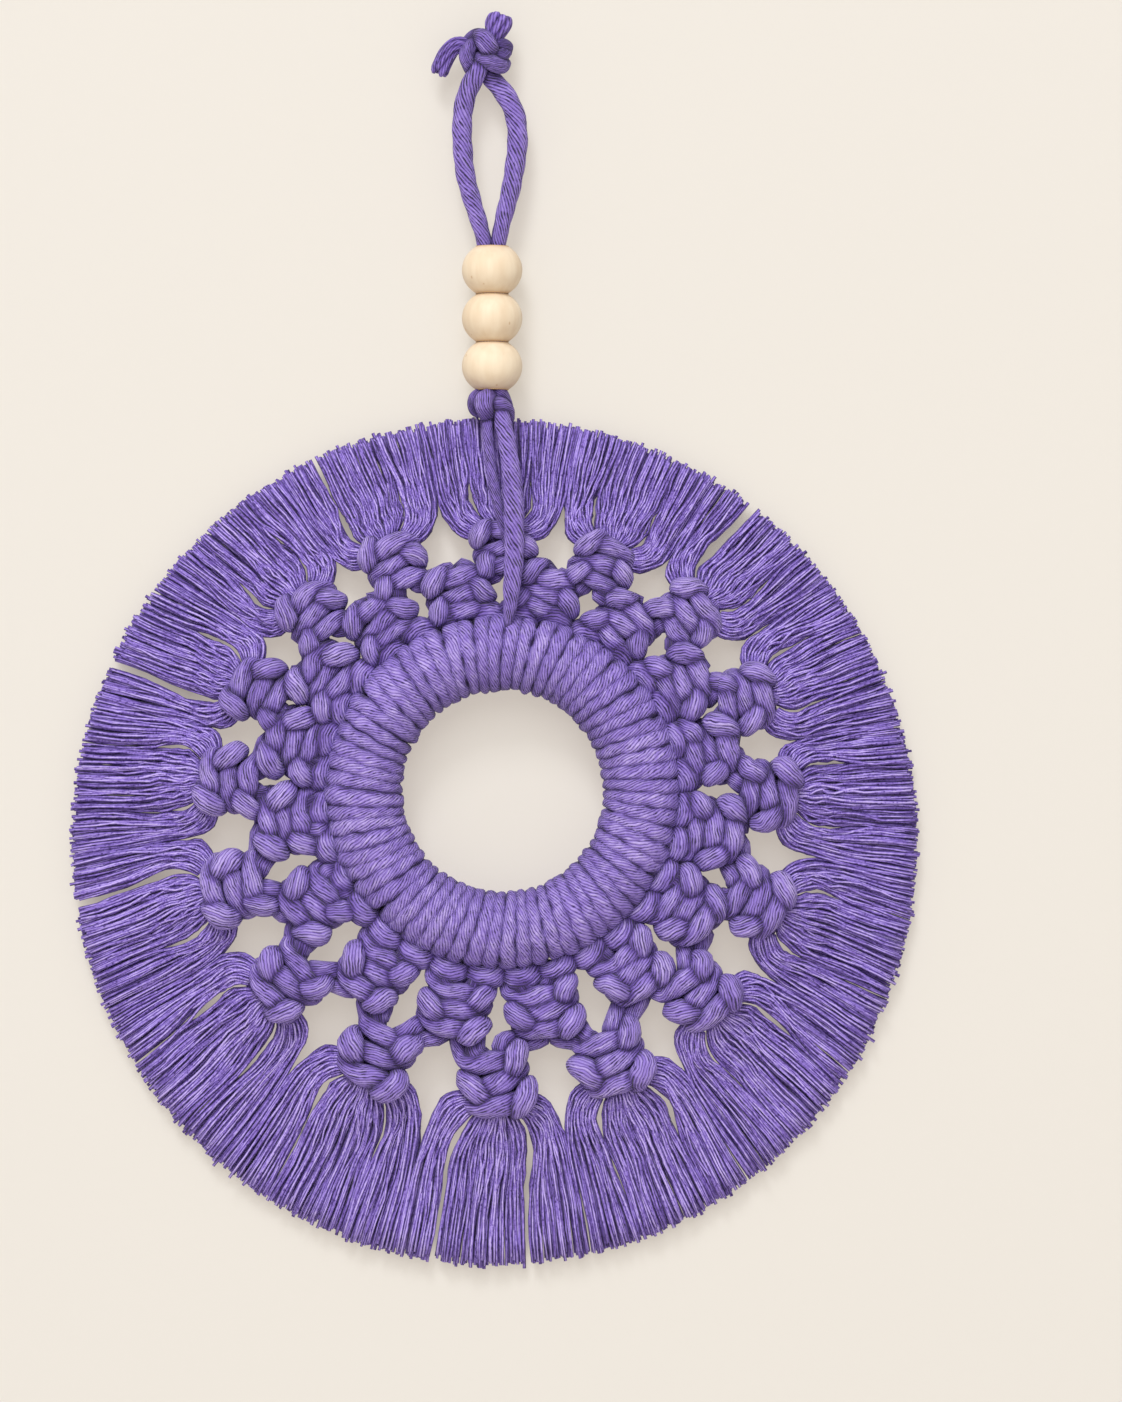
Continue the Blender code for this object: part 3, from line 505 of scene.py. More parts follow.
def net_ends(inner_ways, outer_ways, across, onwards):
    """Sixteen ends from the bars through an inner and an outer knot, onwards to the next one."""
    outer, outer_tilts = np.roll(OUTER_KNOTS, -onwards, axis=0), np.roll(OUTER_TILTS, -onwards)
    inner_part = in_knot(inner_ways, INNER_KNOTS, INNER_TILTS, INNER_ROW, INNER_REFERENCE)
    outer_part = in_knot(outer_ways, outer, outer_tilts, OUTER_ROW, OUTER_REFERENCE)
    points = np.concatenate((from_bar(across, INNER_KNOTS), inner_part, outer_part), axis=1)
    return smooth_paths(points, NET_STATIONS)


BAR_RADIUS = 32.6 * MM               # middle of the row of bars
BAR_DRIFT = 0.5 * MM                 # further out at the bottom, nearer at the top
BAR_STATIONS = 16
BAR_TABLE = np.array([
    # degrees, radius from the row's own, depth before the ring's middle, half thickness; in mm
    (-5.2, -2.8, -2.2, 1.20),
    (-4.5, -0.9, -0.9, 1.75),
    (-2.4, 0.1, 0.0, 2.10),
    (0.0, 0.5, 0.4, 2.25),
    (2.4, 0.2, 0.0, 2.15),
    (4.5, -0.7, -0.9, 1.80),
    (5.2, -2.6, -2.2, 1.20),
])
# How uneven the bars are: degrees along the row, mm of tilt at BAR_SHOULDER degrees from a bar's
# middle, and mm of radius and depth.
BAR_STRAY, BAR_TILT_STRAY, BAR_SHOULDER, BAR_PLACE_STRAY = 0.4, 0.3, 4.5, 0.15


def bar_ways():
    """The folds of the 32 cords: short arcs across two wraps each, tucked in at both ends."""
    middle = (np.arange(WRAPS // 2) + 0.5) * 720.0 / WRAPS
    each = (len(middle), 1)
    angle = middle[:, None] + BAR_TABLE[:, 0] + chance.normal(0.0, BAR_STRAY, each)
    radius = BAR_RADIUS + BAR_DRIFT * np.cos(np.radians(angle)) + BAR_TABLE[:, 1] * MM
    tilt = chance.normal(0.0, BAR_TILT_STRAY, each) * BAR_TABLE[:, 0] / BAR_SHOULDER
    radius = radius + (tilt + chance.normal(0.0, BAR_PLACE_STRAY, each)) * MM
    depth = BAR_TABLE[:, 2] * MM + chance.normal(0.0, BAR_PLACE_STRAY, each) * MM
    places = RING_CENTRE + outward(angle) * radius[..., None] + FRONT * depth[..., None]
    sizes = np.broadcast_to(BAR_TABLE[:, 3] * MM, angle.shape)
    return smooth_paths(np.concatenate((places, sizes[..., None]), axis=-1), BAR_STATIONS)


TURN_STARTS = 9.0                    # turns over which the cords' starts are spread


def cord_turns(paths, pitch):
    """Turns of the yarns along each path, from a random start."""
    way = np.linalg.norm(np.diff(paths[..., :3], axis=1), axis=-1).cumsum(axis=1)
    way = np.concatenate((np.zeros((len(paths), 1)), way), axis=1)
    return way / pitch + chance.random((len(paths), 1)) * TURN_STARTS


CREASE_SHADE = 0.62                  # painted shade: how much darker a cord is where it lies pressed on another
CREASE_WIDTH = 0.4 * MM
CREASE_REACH = 3.0 * MM              # round a cord, in which others are looked for
OWN_STATIONS = 10


def painted_crease_shade(grid, ways, others=()):
    """Painted shade of the folds between cords, darkest where a point lies against another cord.

    The gap is the way from the point to the other cord's middle, less that cord's half thickness;
    a cord's own next OWN_STATIONS stations don't count. The shade falls off exponentially. others
    are the ways of other pieces' cords.
    """
    shade = np.empty(grid.shape[:3])
    cords, stations = ways.shape[:2]
    every = np.concatenate([ways.reshape(-1, 4)] + [other.reshape(-1, 4) for other in others])
    middles, half = every[:, :3], every[:, 3]
    number, place = np.divmod(np.arange(len(every)), stations)
    for cord in range(cords):
        points = grid[cord].reshape(-1, 3)
        low, high = points.min(axis=0) - CREASE_REACH, points.max(axis=0) + CREASE_REACH
        near = np.flatnonzero(np.all((middles > low) & (middles < high), axis=1))
        gap = np.linalg.norm(points[:, None] - middles[near], axis=2) - half[near]
        own_place = np.arange(len(points)) // grid.shape[2]
        own = (number[near] == cord) & (np.abs(place[near] - own_place[:, None]) < OWN_STATIONS)
        gap = np.maximum(np.where(own, np.inf, gap).min(axis=1), 0.0)
        shade[cord] = -CREASE_SHADE * np.exp(-gap / CREASE_WIDTH).reshape(shade.shape[1:])
    return shade


# Order of an inner knot's ends at its foot: two go to the left outer knot, two to the right one.
NET_ENDS = [
    # ways in the inner knot, in the outer knot, mm across under the bars, knots onwards
    (RIGHT_WORKING, RIGHT_FILLING, 4.4, 0),
    (LEFT_FILLING, RIGHT_WORKING, -1.5, 0),
    (LEFT_WORKING, LEFT_FILLING, -4.4, 1),
    (RIGHT_FILLING, LEFT_WORKING, 1.5, 1),
]
cord_cotton = cotton("violet cotton cord", CORD_YARNS, 0.6 * MM, 2.0, openness=5.8, dashes=26.0,
                     flecks=8.0, paler=0.85)
net_ways = np.concatenate([net_ends(*kind) for kind in NET_ENDS])
net_tangents, net_up = carried_up(net_ways[..., :3], FRONT)
net_turns = cord_turns(net_ways, CORD_PITCH)
net_grid = cord_grid(net_ways[..., :3], net_tangents, net_up, net_ways[..., 3],
                     net_ways[..., 3] * FLATNESS, net_turns)
bars = bar_ways()
net_shade = painted_crease_shade(net_grid, net_ways, [bars]) + NET_TONE
net_shade = net_shade + chance.normal(0.0, NET_TONE_STRAY, (len(net_ways), 1, 1))
left = len(net_ways) // 2
for name, half in (("net_left_ends", slice(0, left)), ("net_right_ends", slice(left, None))):
    ends = joined(name, [(net_grid[half], net_turns[half], net_shade[half])], cord_cotton)
    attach(ends, "root")
    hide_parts("knotted_net")

# The bars are the same cords' folds, on the ring, and get painted shade where the ends that leave them
# press on them.
bar_tangents, bar_up = carried_up(bars[..., :3], FRONT)
bar_turns = cord_turns(bars, CORD_PITCH)
bar_grid = cord_grid(bars[..., :3], bar_tangents, bar_up, bars[..., 3], bars[..., 3], bar_turns)
bar_shade = painted_crease_shade(bar_grid, bars, [net_ways])
folds = joined("lark_head_folds", [(bar_grid, bar_turns, bar_shade)], cord_cotton)
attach(folds, "root")
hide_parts("wrapped_ring")

# ---------------------------------------------------------------- fringe
# The four ends of each outer knot are combed out into their yarns: the left working end, the two
# filling ends together, and the right working end make three locks. All are trimmed to one round
# outline, whose middle lies a little below the ring's, and lie back against the wall.
TRIM_RADIUS = 75.5 * MM
TRIM_CENTRE = np.array((-1.5, 0.0, -9.2)) * MM   # from the ring's centre
TRIM_MEAN, TRIM_STRAY = -0.1, 0.42   # mm past the outline
YARN_STATIONS = 14
YARN_SIDES = 4
YARN_RADIUS, YARN_RADIUS_STRAY = 0.275 * MM, 0.1
YARN_TAPER = np.interp(np.arange(YARN_STATIONS), (0, 2, YARN_STATIONS - 1), (0.9, 1.0, 1.0))
YARN_TWISTS, YARN_TURN_STARTS = 2.2, 30.0        # turns
SIDE_YARNS = 74
MIDDLE_YARNS = 120
GROUP_GAP = 0.05                     # degrees kept clear at each side of a group
SLIT_SHARES = (0.29, 0.73)           # where the slits between the locks lie in a group
CLOSED_SLIT = 0.02                   # half width in degrees at the trimmed edge
# Half width in degrees of the open slits, by group and by side, left 0 or right 1.
OPEN_SLITS = {(0, 0): 0.5, (0, 1): 0.5, (6, 1): 1.0, (9, 1): 0.5, (11, 1): 0.7, (13, 0): 0.6}
SLIT_PLACES = {(0, 0): 0.20, (0, 1): 0.69}       # where they differ from SLIT_SHARES
LOCKS = [
    # root: mm across, in front, rows outwards; degrees from outwards, and their spread; half
    # width and depth at the root, half width and way of the first handle, in mm; then the last
    # handle's share of the way out, at either side of the lock
    (-4.7, 0.2, 1.08, -74.0, 18.0, 2.1, 1.5, 2.6, 6.0, 0.12, 0.34),
    (0.0, 0.1, 1.60, 0.0, 36.0, 3.2, 1.5, 4.9, 4.2, 0.32, 0.32),
    (4.7, -0.1, 1.16, 74.0, 18.0, 2.1, 1.5, 2.6, 6.0, 0.34, 0.12),
]
KNOT_END = 1.3                       # rows from a knot's middle to its end
END_STRAY = 0.36                     # degrees, of a yarn's end
FRINGE_BACK = 3.5 * MM
END_FRONT, END_BACK = 2.7 * MM, 0.1 * MM         # in front of the fringe's back
DEPTH_STRAY = 0.2                    # mm
# Waves of a yarn: mm and number of its own, mm and number of those that a lock shares, and how
# far these are shifted across it. They rise from the root and sink again towards the end. Kinks
# rise from the root to their full size in 1 / KINKS_RISE of the way.
OWN_WAVE, OWN_WAVES = 0.15, (1.5, 3.2)
SHARED_WAVE, SHARED_WAVES, SHARED_SHIFT = 0.22, 1.6, 0.4
WAVES_END, WAVES_POWER = 0.93, 0.7
YARN_KINK, KINKS_RISE = 0.075 * MM, 5.0

# Painted shade: a yarn is darker at its sides than at its front and back, and deep in its lock it is
# darker on the side that faces the lock's far face, where the other yarns keep the light off. Sides in
# order: side, front, side, back.
ROUND_SHADE = np.array((-0.34, 0.06, -0.34, 0.06))
DEPTH_SHADE = np.array((0.0, 0.32, 0.0, -0.32))
TOP_SHADE = 0.07                     # painted shade: darker by this above the ring, where light falls on the tips
YARN_TONE, YARN_TONE_STRAY = -0.12, 0.075


def trim_distance(angle):
    """From the ring's centre to the trimmed circle: the longer root of the line's equation."""
    direction = outward(angle)
    ahead = direction @ TRIM_CENTRE
    aside = TRIM_CENTRE @ TRIM_CENTRE - ahead ** 2
    return ahead + np.sqrt(TRIM_RADIUS ** 2 - aside)


def sunflower(count):
    """Even places in a disc: the turn grows by the golden angle, the radius by its root."""
    number = np.arange(count) + 0.5
    turn = number * np.pi * (3.0 - np.sqrt(5.0))
    return np.sqrt(number / count) * np.cos(turn), np.sqrt(number / count) * np.sin(turn)


def yarn_paths(group, lock, low, high):
    """Cubic Bezier curves from a lock's root in its knot to the trimmed edge, with a little wave.

    A yarn's root is its place in a disc, across the lock and in front. Its first handle lies
    ahead of that along the lock's way, and its last one on the ray from the ring's centre to its
    end. The ends lie side by side from low to high, in the order of the roots.
    """
    angle, radius = OUTER_KNOTS[group]
    size = radius / OUTER_REFERENCE
    (across, front, rows, lean, spread, half_width, half_depth, handle_width, handle,
     share_low, share_high) = LOCKS[lock]
    count = MIDDLE_YARNS if lock == 1 else SIDE_YARNS
    p, q = sunflower(count)
    out, side = outward(angle), sideways(angle)
    turn = np.radians(lean)
    width_way = side * np.cos(turn) - out * np.sin(turn)
    middle = (NET_CENTRE + out * (radius + rows * OUTER_ROW * size) * MM
              + side * across * size * MM + FRONT * front * MM)
    depth_way = FRONT * q[:, None] * half_depth * size * MM
    root = middle + width_way * p[:, None] * half_width * size * MM + depth_way
    way = np.radians(lean + spread * p)[:, None]
    leave = out * np.cos(way) + side * np.sin(way)
    first = (middle + width_way * p[:, None] * handle_width * size * MM
             + leave * handle * size * MM + depth_way)
    rank = (np.argsort(np.argsort(p)) + 0.5) / count
    end_angle = low + (high - low) * rank + chance.normal(0.0, END_STRAY, count)
    end_angle = np.clip(end_angle, low, high)
    far = trim_distance(end_angle)
    start = radius * MM + KNOT_END * OUTER_ROW * size * MM
    share = share_low + (share_high - share_low) * rank
    last = RING_CENTRE + outward(end_angle) * (start + (far - start) * share)[:, None]
    reach = far + chance.normal(TRIM_MEAN, TRIM_STRAY, count) * MM
    end = RING_CENTRE + outward(end_angle) * reach[:, None]
    depth = END_BACK + (END_FRONT - END_BACK) * (q * 0.5 + 0.5)
    depth = depth + chance.normal(0.0, DEPTH_STRAY, count) * MM
    end[:, 1] = last[:, 1] = FRINGE_BACK - depth
    t = np.linspace(0.0, 1.0, YARN_STATIONS)[:, None]
    root, first, last, end = (part[:, None] for part in (root, first, last, end))
    paths = (root * (1 - t) ** 3 + first * 3 * t * (1 - t) ** 2 + last * 3 * t * t * (1 - t)
             + end * t ** 3)
    t = t[:, 0]
    phase = chance.random((2, count, 1))
    waves = chance.uniform(*OWN_WAVES, (2, count, 1))
    own = np.sin((t * waves + phase) * 2 * np.pi) * chance.normal(0.0, OWN_WAVE, (2, count, 1))
    drift = chance.random((2, 1, 1)) + p[:, None] * SHARED_SHIFT
    shared = np.sin((t * SHARED_WAVES + drift) * 2 * np.pi) * SHARED_WAVE
    kinks = chance.normal(0.0, YARN_KINK, (2, count, YARN_STATIONS))
    kinks = kinks * np.clip(t * KINKS_RISE, 0.0, 1.0)
    sway = (own + shared) * np.sin(np.pi * t * WAVES_END) ** WAVES_POWER * MM + kinks
    swing = sideways(end_angle)[:, None]
    return paths + swing * sway[0][..., None] + FRONT * sway[1][..., None]


yarn_cotton = cotton("violet cotton yarn", 2, 0.12 * MM, 0.6, dashes=32.0, flecks=18.0, paler=0.75)
outer_angles = OUTER_KNOTS[:, 0]
all_round = np.concatenate((outer_angles[-1:] - 360.0, outer_angles, outer_angles[:1] + 360.0))
group_edges = (all_round[:-1] + all_round[1:]) / 2
for group, angle in enumerate(outer_angles):
    low, high = group_edges[group] + GROUP_GAP, group_edges[group + 1] - GROUP_GAP
    slits = [low + (high - low) * SLIT_PLACES.get((group, side), SLIT_SHARES[side]) for side in (0, 1)]
    half = [OPEN_SLITS.get((group, side), CLOSED_SLIT) for side in (0, 1)]
    spans = [(low, slits[0] - half[0]), (slits[0] + half[0], slits[1] - half[1]),
             (slits[1] + half[1], high)]
    grids = []
    for lock, span in enumerate(spans):
        paths = yarn_paths(group, lock, *span)
        tangents, up = carried_up(paths, FRONT)
        count = len(paths)
        radius = YARN_RADIUS * (1.0 + chance.normal(0.0, YARN_RADIUS_STRAY, (count, 1))) * YARN_TAPER
        turns = np.linspace(0.0, YARN_TWISTS, YARN_STATIONS)
        turns = turns + chance.random((count, 1)) * YARN_TURN_STARTS
        points = cord_grid(paths, tangents, up, radius, radius, turns, sides=YARN_SIDES)
        painted_shade_and_tone = (chance.normal(YARN_TONE, YARN_TONE_STRAY, (count, 1, 1)) + ROUND_SHADE
                - TOP_SHADE * (0.5 - 0.5 * np.cos(np.radians(angle)))
                + DEPTH_SHADE * sunflower(count)[1][:, None, None])
        grids.append((points, turns, painted_shade_and_tone))
    yarns = joined(f"fringe_yarns_{group + 1:02d}", grids, yarn_cotton)
    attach(yarns, "root")
    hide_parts(f"fringe_{group + 1:02d}")

# ---------------------------------------------------------------- hanging cord
# One more cord, folded double. An overhand knot ties its two ends off at the top, its two sides
# run down through the beads, and a second overhand knot keeps the beads up. From that knot one
# length lies in front and one behind, down to the ring, where they go in between two wraps.
HANG_PITCH = 17.0 * MM
HANG_YARNS = 16
HANG_STATIONS = 64
HANG_SIDES = 28
HANG_TONE = -0.11
HANG_TONE_AND_SHADE = {"back_cord": -0.14}    # painted shade: darker, as it lies in the front cord's shade
HANGING_CORD = {
    # x, y, z and half thickness in mm
    "hanging_loop": [
        [(-0.3, -0.6, 4.4, 1.5), (-1.1, -1.6, 2.6, 1.65), (-2.2, -1.0, 0.7, 1.75),
         (-3.1, -0.5, -1.4, 1.75), (-3.7, -0.2, -4.1, 1.75), (-3.9, -0.3, -7.5, 1.75),
         (-3.8, -0.4, -10.5, 1.75), (-3.3, -0.7, -15.5, 1.7), (-2.0, -1.0, -20.5, 1.6),
         (-0.6, -1.3, -25.0, 1.45), (0.2, -1.3, -28.5, 1.35), (0.4, -1.3, -34.0, 1.3),
         (0.5, -1.3, -54.0, 1.3)],
        [(0.4, 0.6, 3.2, 1.5), (1.2, 0.6, 1.9, 1.65), (2.3, 0.4, 0.7, 1.75), (3.5, 0.2, -0.8, 1.8),
         (4.7, 0.0, -2.7, 1.8), (5.6, -0.1, -5.0, 1.8), (6.0, -0.3, -8.0, 1.8),
         (5.9, -0.5, -11.5, 1.8), (4.9, -0.9, -18.0, 1.7), (3.4, -1.2, -24.0, 1.5),
         (2.6, -1.3, -28.5, 1.35), (2.6, -1.3, -34.0, 1.3), (2.5, -1.3, -54.0, 1.3)],
    ],
    "top_knot": [
        [(-1.2, 0.6, 7.8, 1.5), (0.0, 0.6, 6.6, 2.0), (0.6, 0.6, 5.0, 1.8), (0.6, 0.8, 3.4, 1.4)],
        [(-1.2, 0.3, 8.2, 1.1), (-2.2, -0.8, 7.4, 1.3), (-2.9, -1.3, 6.3, 1.4),
         (-3.0, -1.3, 4.9, 1.35), (-2.3, -0.6, 3.2, 1.2), (-1.3, 0.6, 2.4, 1.0)],
        [(-3.1, 0.9, 7.2, 1.0), (-2.9, 0.2, 8.3, 1.05), (-1.9, -0.2, 9.2, 1.1),
         (-0.8, -0.2, 9.5, 1.1), (0.4, 0.2, 9.2, 1.0)],
        [(-1.1, 0.2, 9.3, 1.1), (-0.4, -1.5, 9.0, 1.5), (0.3, -2.5, 8.1, 1.8),
         (0.8, -2.6, 7.1, 1.8), (1.4, -1.7, 6.3, 1.5), (2.2, -0.2, 5.8, 1.1)],
        [(-1.2, 0.0, 5.4, 1.0), (-0.4, -1.5, 5.0, 1.25), (0.8, -2.5, 4.6, 1.45),
         (2.1, -2.4, 3.9, 1.5), (3.1, -1.3, 3.7, 1.4), (3.7, 0.3, 4.5, 1.2)],
        [(1.3, -1.2, 6.0, 1.0), (2.6, -1.8, 5.6, 1.15), (3.7, -1.0, 5.9, 1.15), (4.0, 0.4, 6.8, 0.95)],
        [(2.0, -0.6, 7.9, 0.9), (3.2, -1.1, 7.8, 1.1), (4.2, -0.5, 7.2, 1.05), (4.2, 0.6, 6.3, 0.85)],
    ],
    "under_knot": [
        [(1.5, -1.4, -53.6, 1.2), (1.0, -2.8, -55.0, 1.4), (0.4, -3.9, -55.9, 1.7),
         (0.1, -4.2, -56.9, 1.75), (0.4, -3.4, -58.4, 1.5), (1.1, -1.6, -59.4, 1.1)],
        [(0.4, -1.4, -54.4, 1.0), (-0.6, -2.1, -55.0, 1.2), (-1.5, -2.1, -55.7, 1.25),
         (-1.8, -1.7, -56.8, 1.2), (-1.4, -1.2, -57.9, 1.05), (-0.4, -0.9, -58.3, 0.8)],
        [(1.9, -1.4, -53.4, 1.2), (2.6, -2.3, -54.5, 1.3), (3.5, -2.3, -55.6, 1.3),
         (4.0, -1.6, -56.9, 1.2), (4.1, -0.6, -58.0, 1.1)],
        [(1.2, -2.3, -56.8, 1.0), (2.2, -3.5, -56.7, 1.25), (3.4, -3.7, -57.0, 1.35),
         (4.1, -2.8, -57.8, 1.3), (4.5, -1.3, -58.9, 1.1), (4.1, -0.1, -59.5, 0.9)],
    ],
    "front_cord": [
        [(3.2, -2.6, -57.8, 1.35), (3.4, -4.3, -59.8, 1.45), (3.9, -5.1, -62.0, 1.55),
         (4.4, -5.6, -65.0, 1.6), (5.0, -6.1, -69.5, 1.7), (5.4, -6.6, -76.0, 1.8),
         (5.5, -6.9, -83.0, 1.75), (5.1, -7.0, -89.0, 1.55), (4.7, -7.0, -93.5, 1.15),
         (4.3, -6.6, -96.4, 0.5)],
    ],
    "back_cord": [
        [(0.9, -1.9, -58.8, 0.95), (0.7, -3.4, -60.6, 1.0), (0.9, -4.0, -64.0, 1.0),
         (1.6, -4.4, -69.5, 1.0), (2.9, -4.7, -76.0, 0.95), (4.4, -4.4, -82.0, 0.8)],
    ],
}
hang_cotton = cotton("violet hanging cotton", HANG_YARNS, 0.6 * MM, 1.0, openness=7.5, dashes=9.0)
hang_nodes = np.array([node for node, cords in HANGING_CORD.items() for _ in cords])
hang_ways = np.concatenate([smooth_paths(np.array([table]) * MM, HANG_STATIONS)
                            for cords in HANGING_CORD.values() for table in cords])
hang_tangents, hang_up = carried_up(hang_ways[..., :3], FRONT)
hang_turns = cord_turns(hang_ways, HANG_PITCH)
hang_grid = cord_grid(hang_ways[..., :3], hang_tangents, hang_up, hang_ways[..., 3],
                      hang_ways[..., 3], hang_turns, sides=HANG_SIDES)
hang_shade = painted_crease_shade(hang_grid, hang_ways)
for node in HANGING_CORD:
    mine = np.flatnonzero(hang_nodes == node)
    finish = cord_cotton if node.endswith("knot") else hang_cotton
    shade = hang_shade[mine] + HANG_TONE_AND_SHADE.get(node, HANG_TONE)
    cord = joined(f"{node}_cord", [(hang_grid[mine], hang_turns[mine], shade)], finish)
    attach(cord, "root")
    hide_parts(node)

# The two cut ends stand out of the top knot, opened into a few soft plies with blunt tips: one
# ply in the middle of each and the rest round it, a little wound.
TAILS = [
    # x, y, z and half width of the whole end in mm
    [(-2.2, 0.2, 6.6, 1.3), (-3.4, -0.2, 7.4, 1.4), (-4.7, -0.4, 7.6, 1.45), (-5.9, -0.3, 6.8, 1.5),
     (-6.9, -0.1, 5.3, 1.55), (-7.6, 0.1, 3.8, 1.6), (-8.0, 0.2, 2.5, 1.6)],
    [(1.5, 0.2, 7.4, 0.9), (1.8, -0.6, 8.4, 1.1), (2.1, -1.0, 9.6, 1.7), (2.6, -1.0, 11.2, 2.2),
     (2.9, -0.8, 12.4, 2.15), (3.0, -0.7, 13.0, 1.9)],
]
TAIL_PLIES = 9
TAIL_STATIONS = 20
TAIL_TWIST = 1.3                     # radians along an end
TAIL_FLATNESS = 0.85
TAIL_CUT = (-0.7, 0.5)               # mm by which a ply ends short of the others or past them
PLY_AWAY = 0.68                      # from the end's middle to a ply's, as a share of its half width
PLY_HALF = 0.42                      # half a ply's thickness, as a share of the same
PLY_SIDES = 12
PLY_YARNS = 8
PLY_PITCH = 12.0 * MM
TIP_SLOPE, TIP_LEAST = 11.0, 0.12    # how fast a tip rounds off, and the square of its end's size
tail_cotton = cotton("violet cotton plies", PLY_YARNS, 0.3 * MM, 1.2)
tail_ways = np.concatenate([smooth_paths(np.array([table]) * MM, TAIL_STATIONS) for table in TAILS])
tail_tangents, tail_up = carried_up(tail_ways[..., :3], FRONT)
tail_across = np.cross(tail_up, tail_tangents)
along_tail = np.linspace(0.0, 1.0, TAIL_STATIONS)
ring_place = np.linspace(0.0, 2 * np.pi, TAIL_PLIES - 1, endpoint=False)
ply_angle = np.concatenate(([0.0], ring_place))[:, None] + TAIL_TWIST * along_tail
ply_reach = np.concatenate(([0.0], np.full(TAIL_PLIES - 1, PLY_AWAY)))[:, None]
ply_reach = ply_reach * tail_ways[:, None, :, 3]
ply_paths = (tail_ways[:, None, :, :3]
             + tail_across[:, None] * (np.cos(ply_angle) * ply_reach)[..., None]
             + tail_up[:, None] * (np.sin(ply_angle) * ply_reach * TAIL_FLATNESS)[..., None])
tips = unit(tail_ways[:, -1:, :3] - tail_ways[:, -3:-2, :3])[:, None]
ply_ends = chance.uniform(*TAIL_CUT, (len(TAILS), TAIL_PLIES, 1, 1)) * MM
ply_paths = (ply_paths + tips * ply_ends * along_tail[:, None] ** 2).reshape(-1, TAIL_STATIONS, 3)
tip_round = np.sqrt(np.clip((1.0 - along_tail) * TIP_SLOPE + TIP_LEAST, 0.0, 1.0))
ply_half = np.repeat(tail_ways[..., 3], TAIL_PLIES, axis=0) * PLY_HALF * tip_round
ply_tangents, ply_up = carried_up(ply_paths, FRONT)
ply_turns = cord_turns(ply_paths, PLY_PITCH)
ply_grid = cord_grid(ply_paths, ply_tangents, ply_up, ply_half, ply_half, ply_turns, sides=PLY_SIDES)
ply_shade = painted_crease_shade(ply_grid, np.concatenate((ply_paths, ply_half[..., None]), axis=-1))
tails = joined("tail_plies", [(ply_grid, ply_turns, ply_shade)], tail_cotton)
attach(tails, "root")
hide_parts("top_knot")

# ---------------------------------------------------------------- beads
# Three turned beads of pale wood, flattened balls with a flat rim round the bore, sanded smooth
# and left bare. Their grain runs along the bore, with a few fine brown pores.
BEADS = 3
BEAD_X, BEAD_Y, BEAD_TOP = 1.5 * MM, -1.3 * MM, -28.4 * MM
BEAD_PITCH = 8.6 * MM
BEAD_HALF = 4.25 * MM                # half a bead's height
BEAD_RADIUS = 5.4 * MM
BEAD_BORE = 2.75 * MM
BEAD_FLAT = 2.95 * MM                # radius of the flat rim round the bore
BEAD_EDGE = 0.12 * MM                # by which the rims' edges are rounded
BEAD_LIP = 0.93                      # height of the bore's edge, as a share of the half height
BEAD_SIDES = 64
BEAD_PROFILE_POINTS = 31
BEAD_CREASE = 50.0                   # degrees from which an edge is sharp
GRAIN_STRETCH, GRAIN_SCALE, GRAIN_DETAIL, GRAIN_SHARE = 0.12, 700.0, 4.0, 0.6
CLOUD_SCALE, CLOUD_DETAIL, CLOUD_SHARE = 120.0, 2.0, 0.4
WOOD_COLOURS = [
    # noise, red, green, blue
    (0.3, 0.67, 0.53, 0.375),
    (0.72, 0.775, 0.665, 0.515),
]
PORE_AND_SHADE_BROWN = (0.46, 0.25, 0.105, 1.0)
PORE_SCALE, PORE_STRETCH, PORE_SIZE, PORE_NUMBER, PORE_BROWN = 900.0, 0.5, 0.17, 0.22, 0.5
# Painted shade, as a share of brown: at a bead's rims, in the groove where it meets the next, and how
# fast it falls off; then at its foot, away from the light above, and its power.
RIM_PAINTED_SHADE, RIM_WIDTH = 0.8, 0.045
FOOT_PAINTED_SHADE, FOOT_POWER = 0.16, 1.5


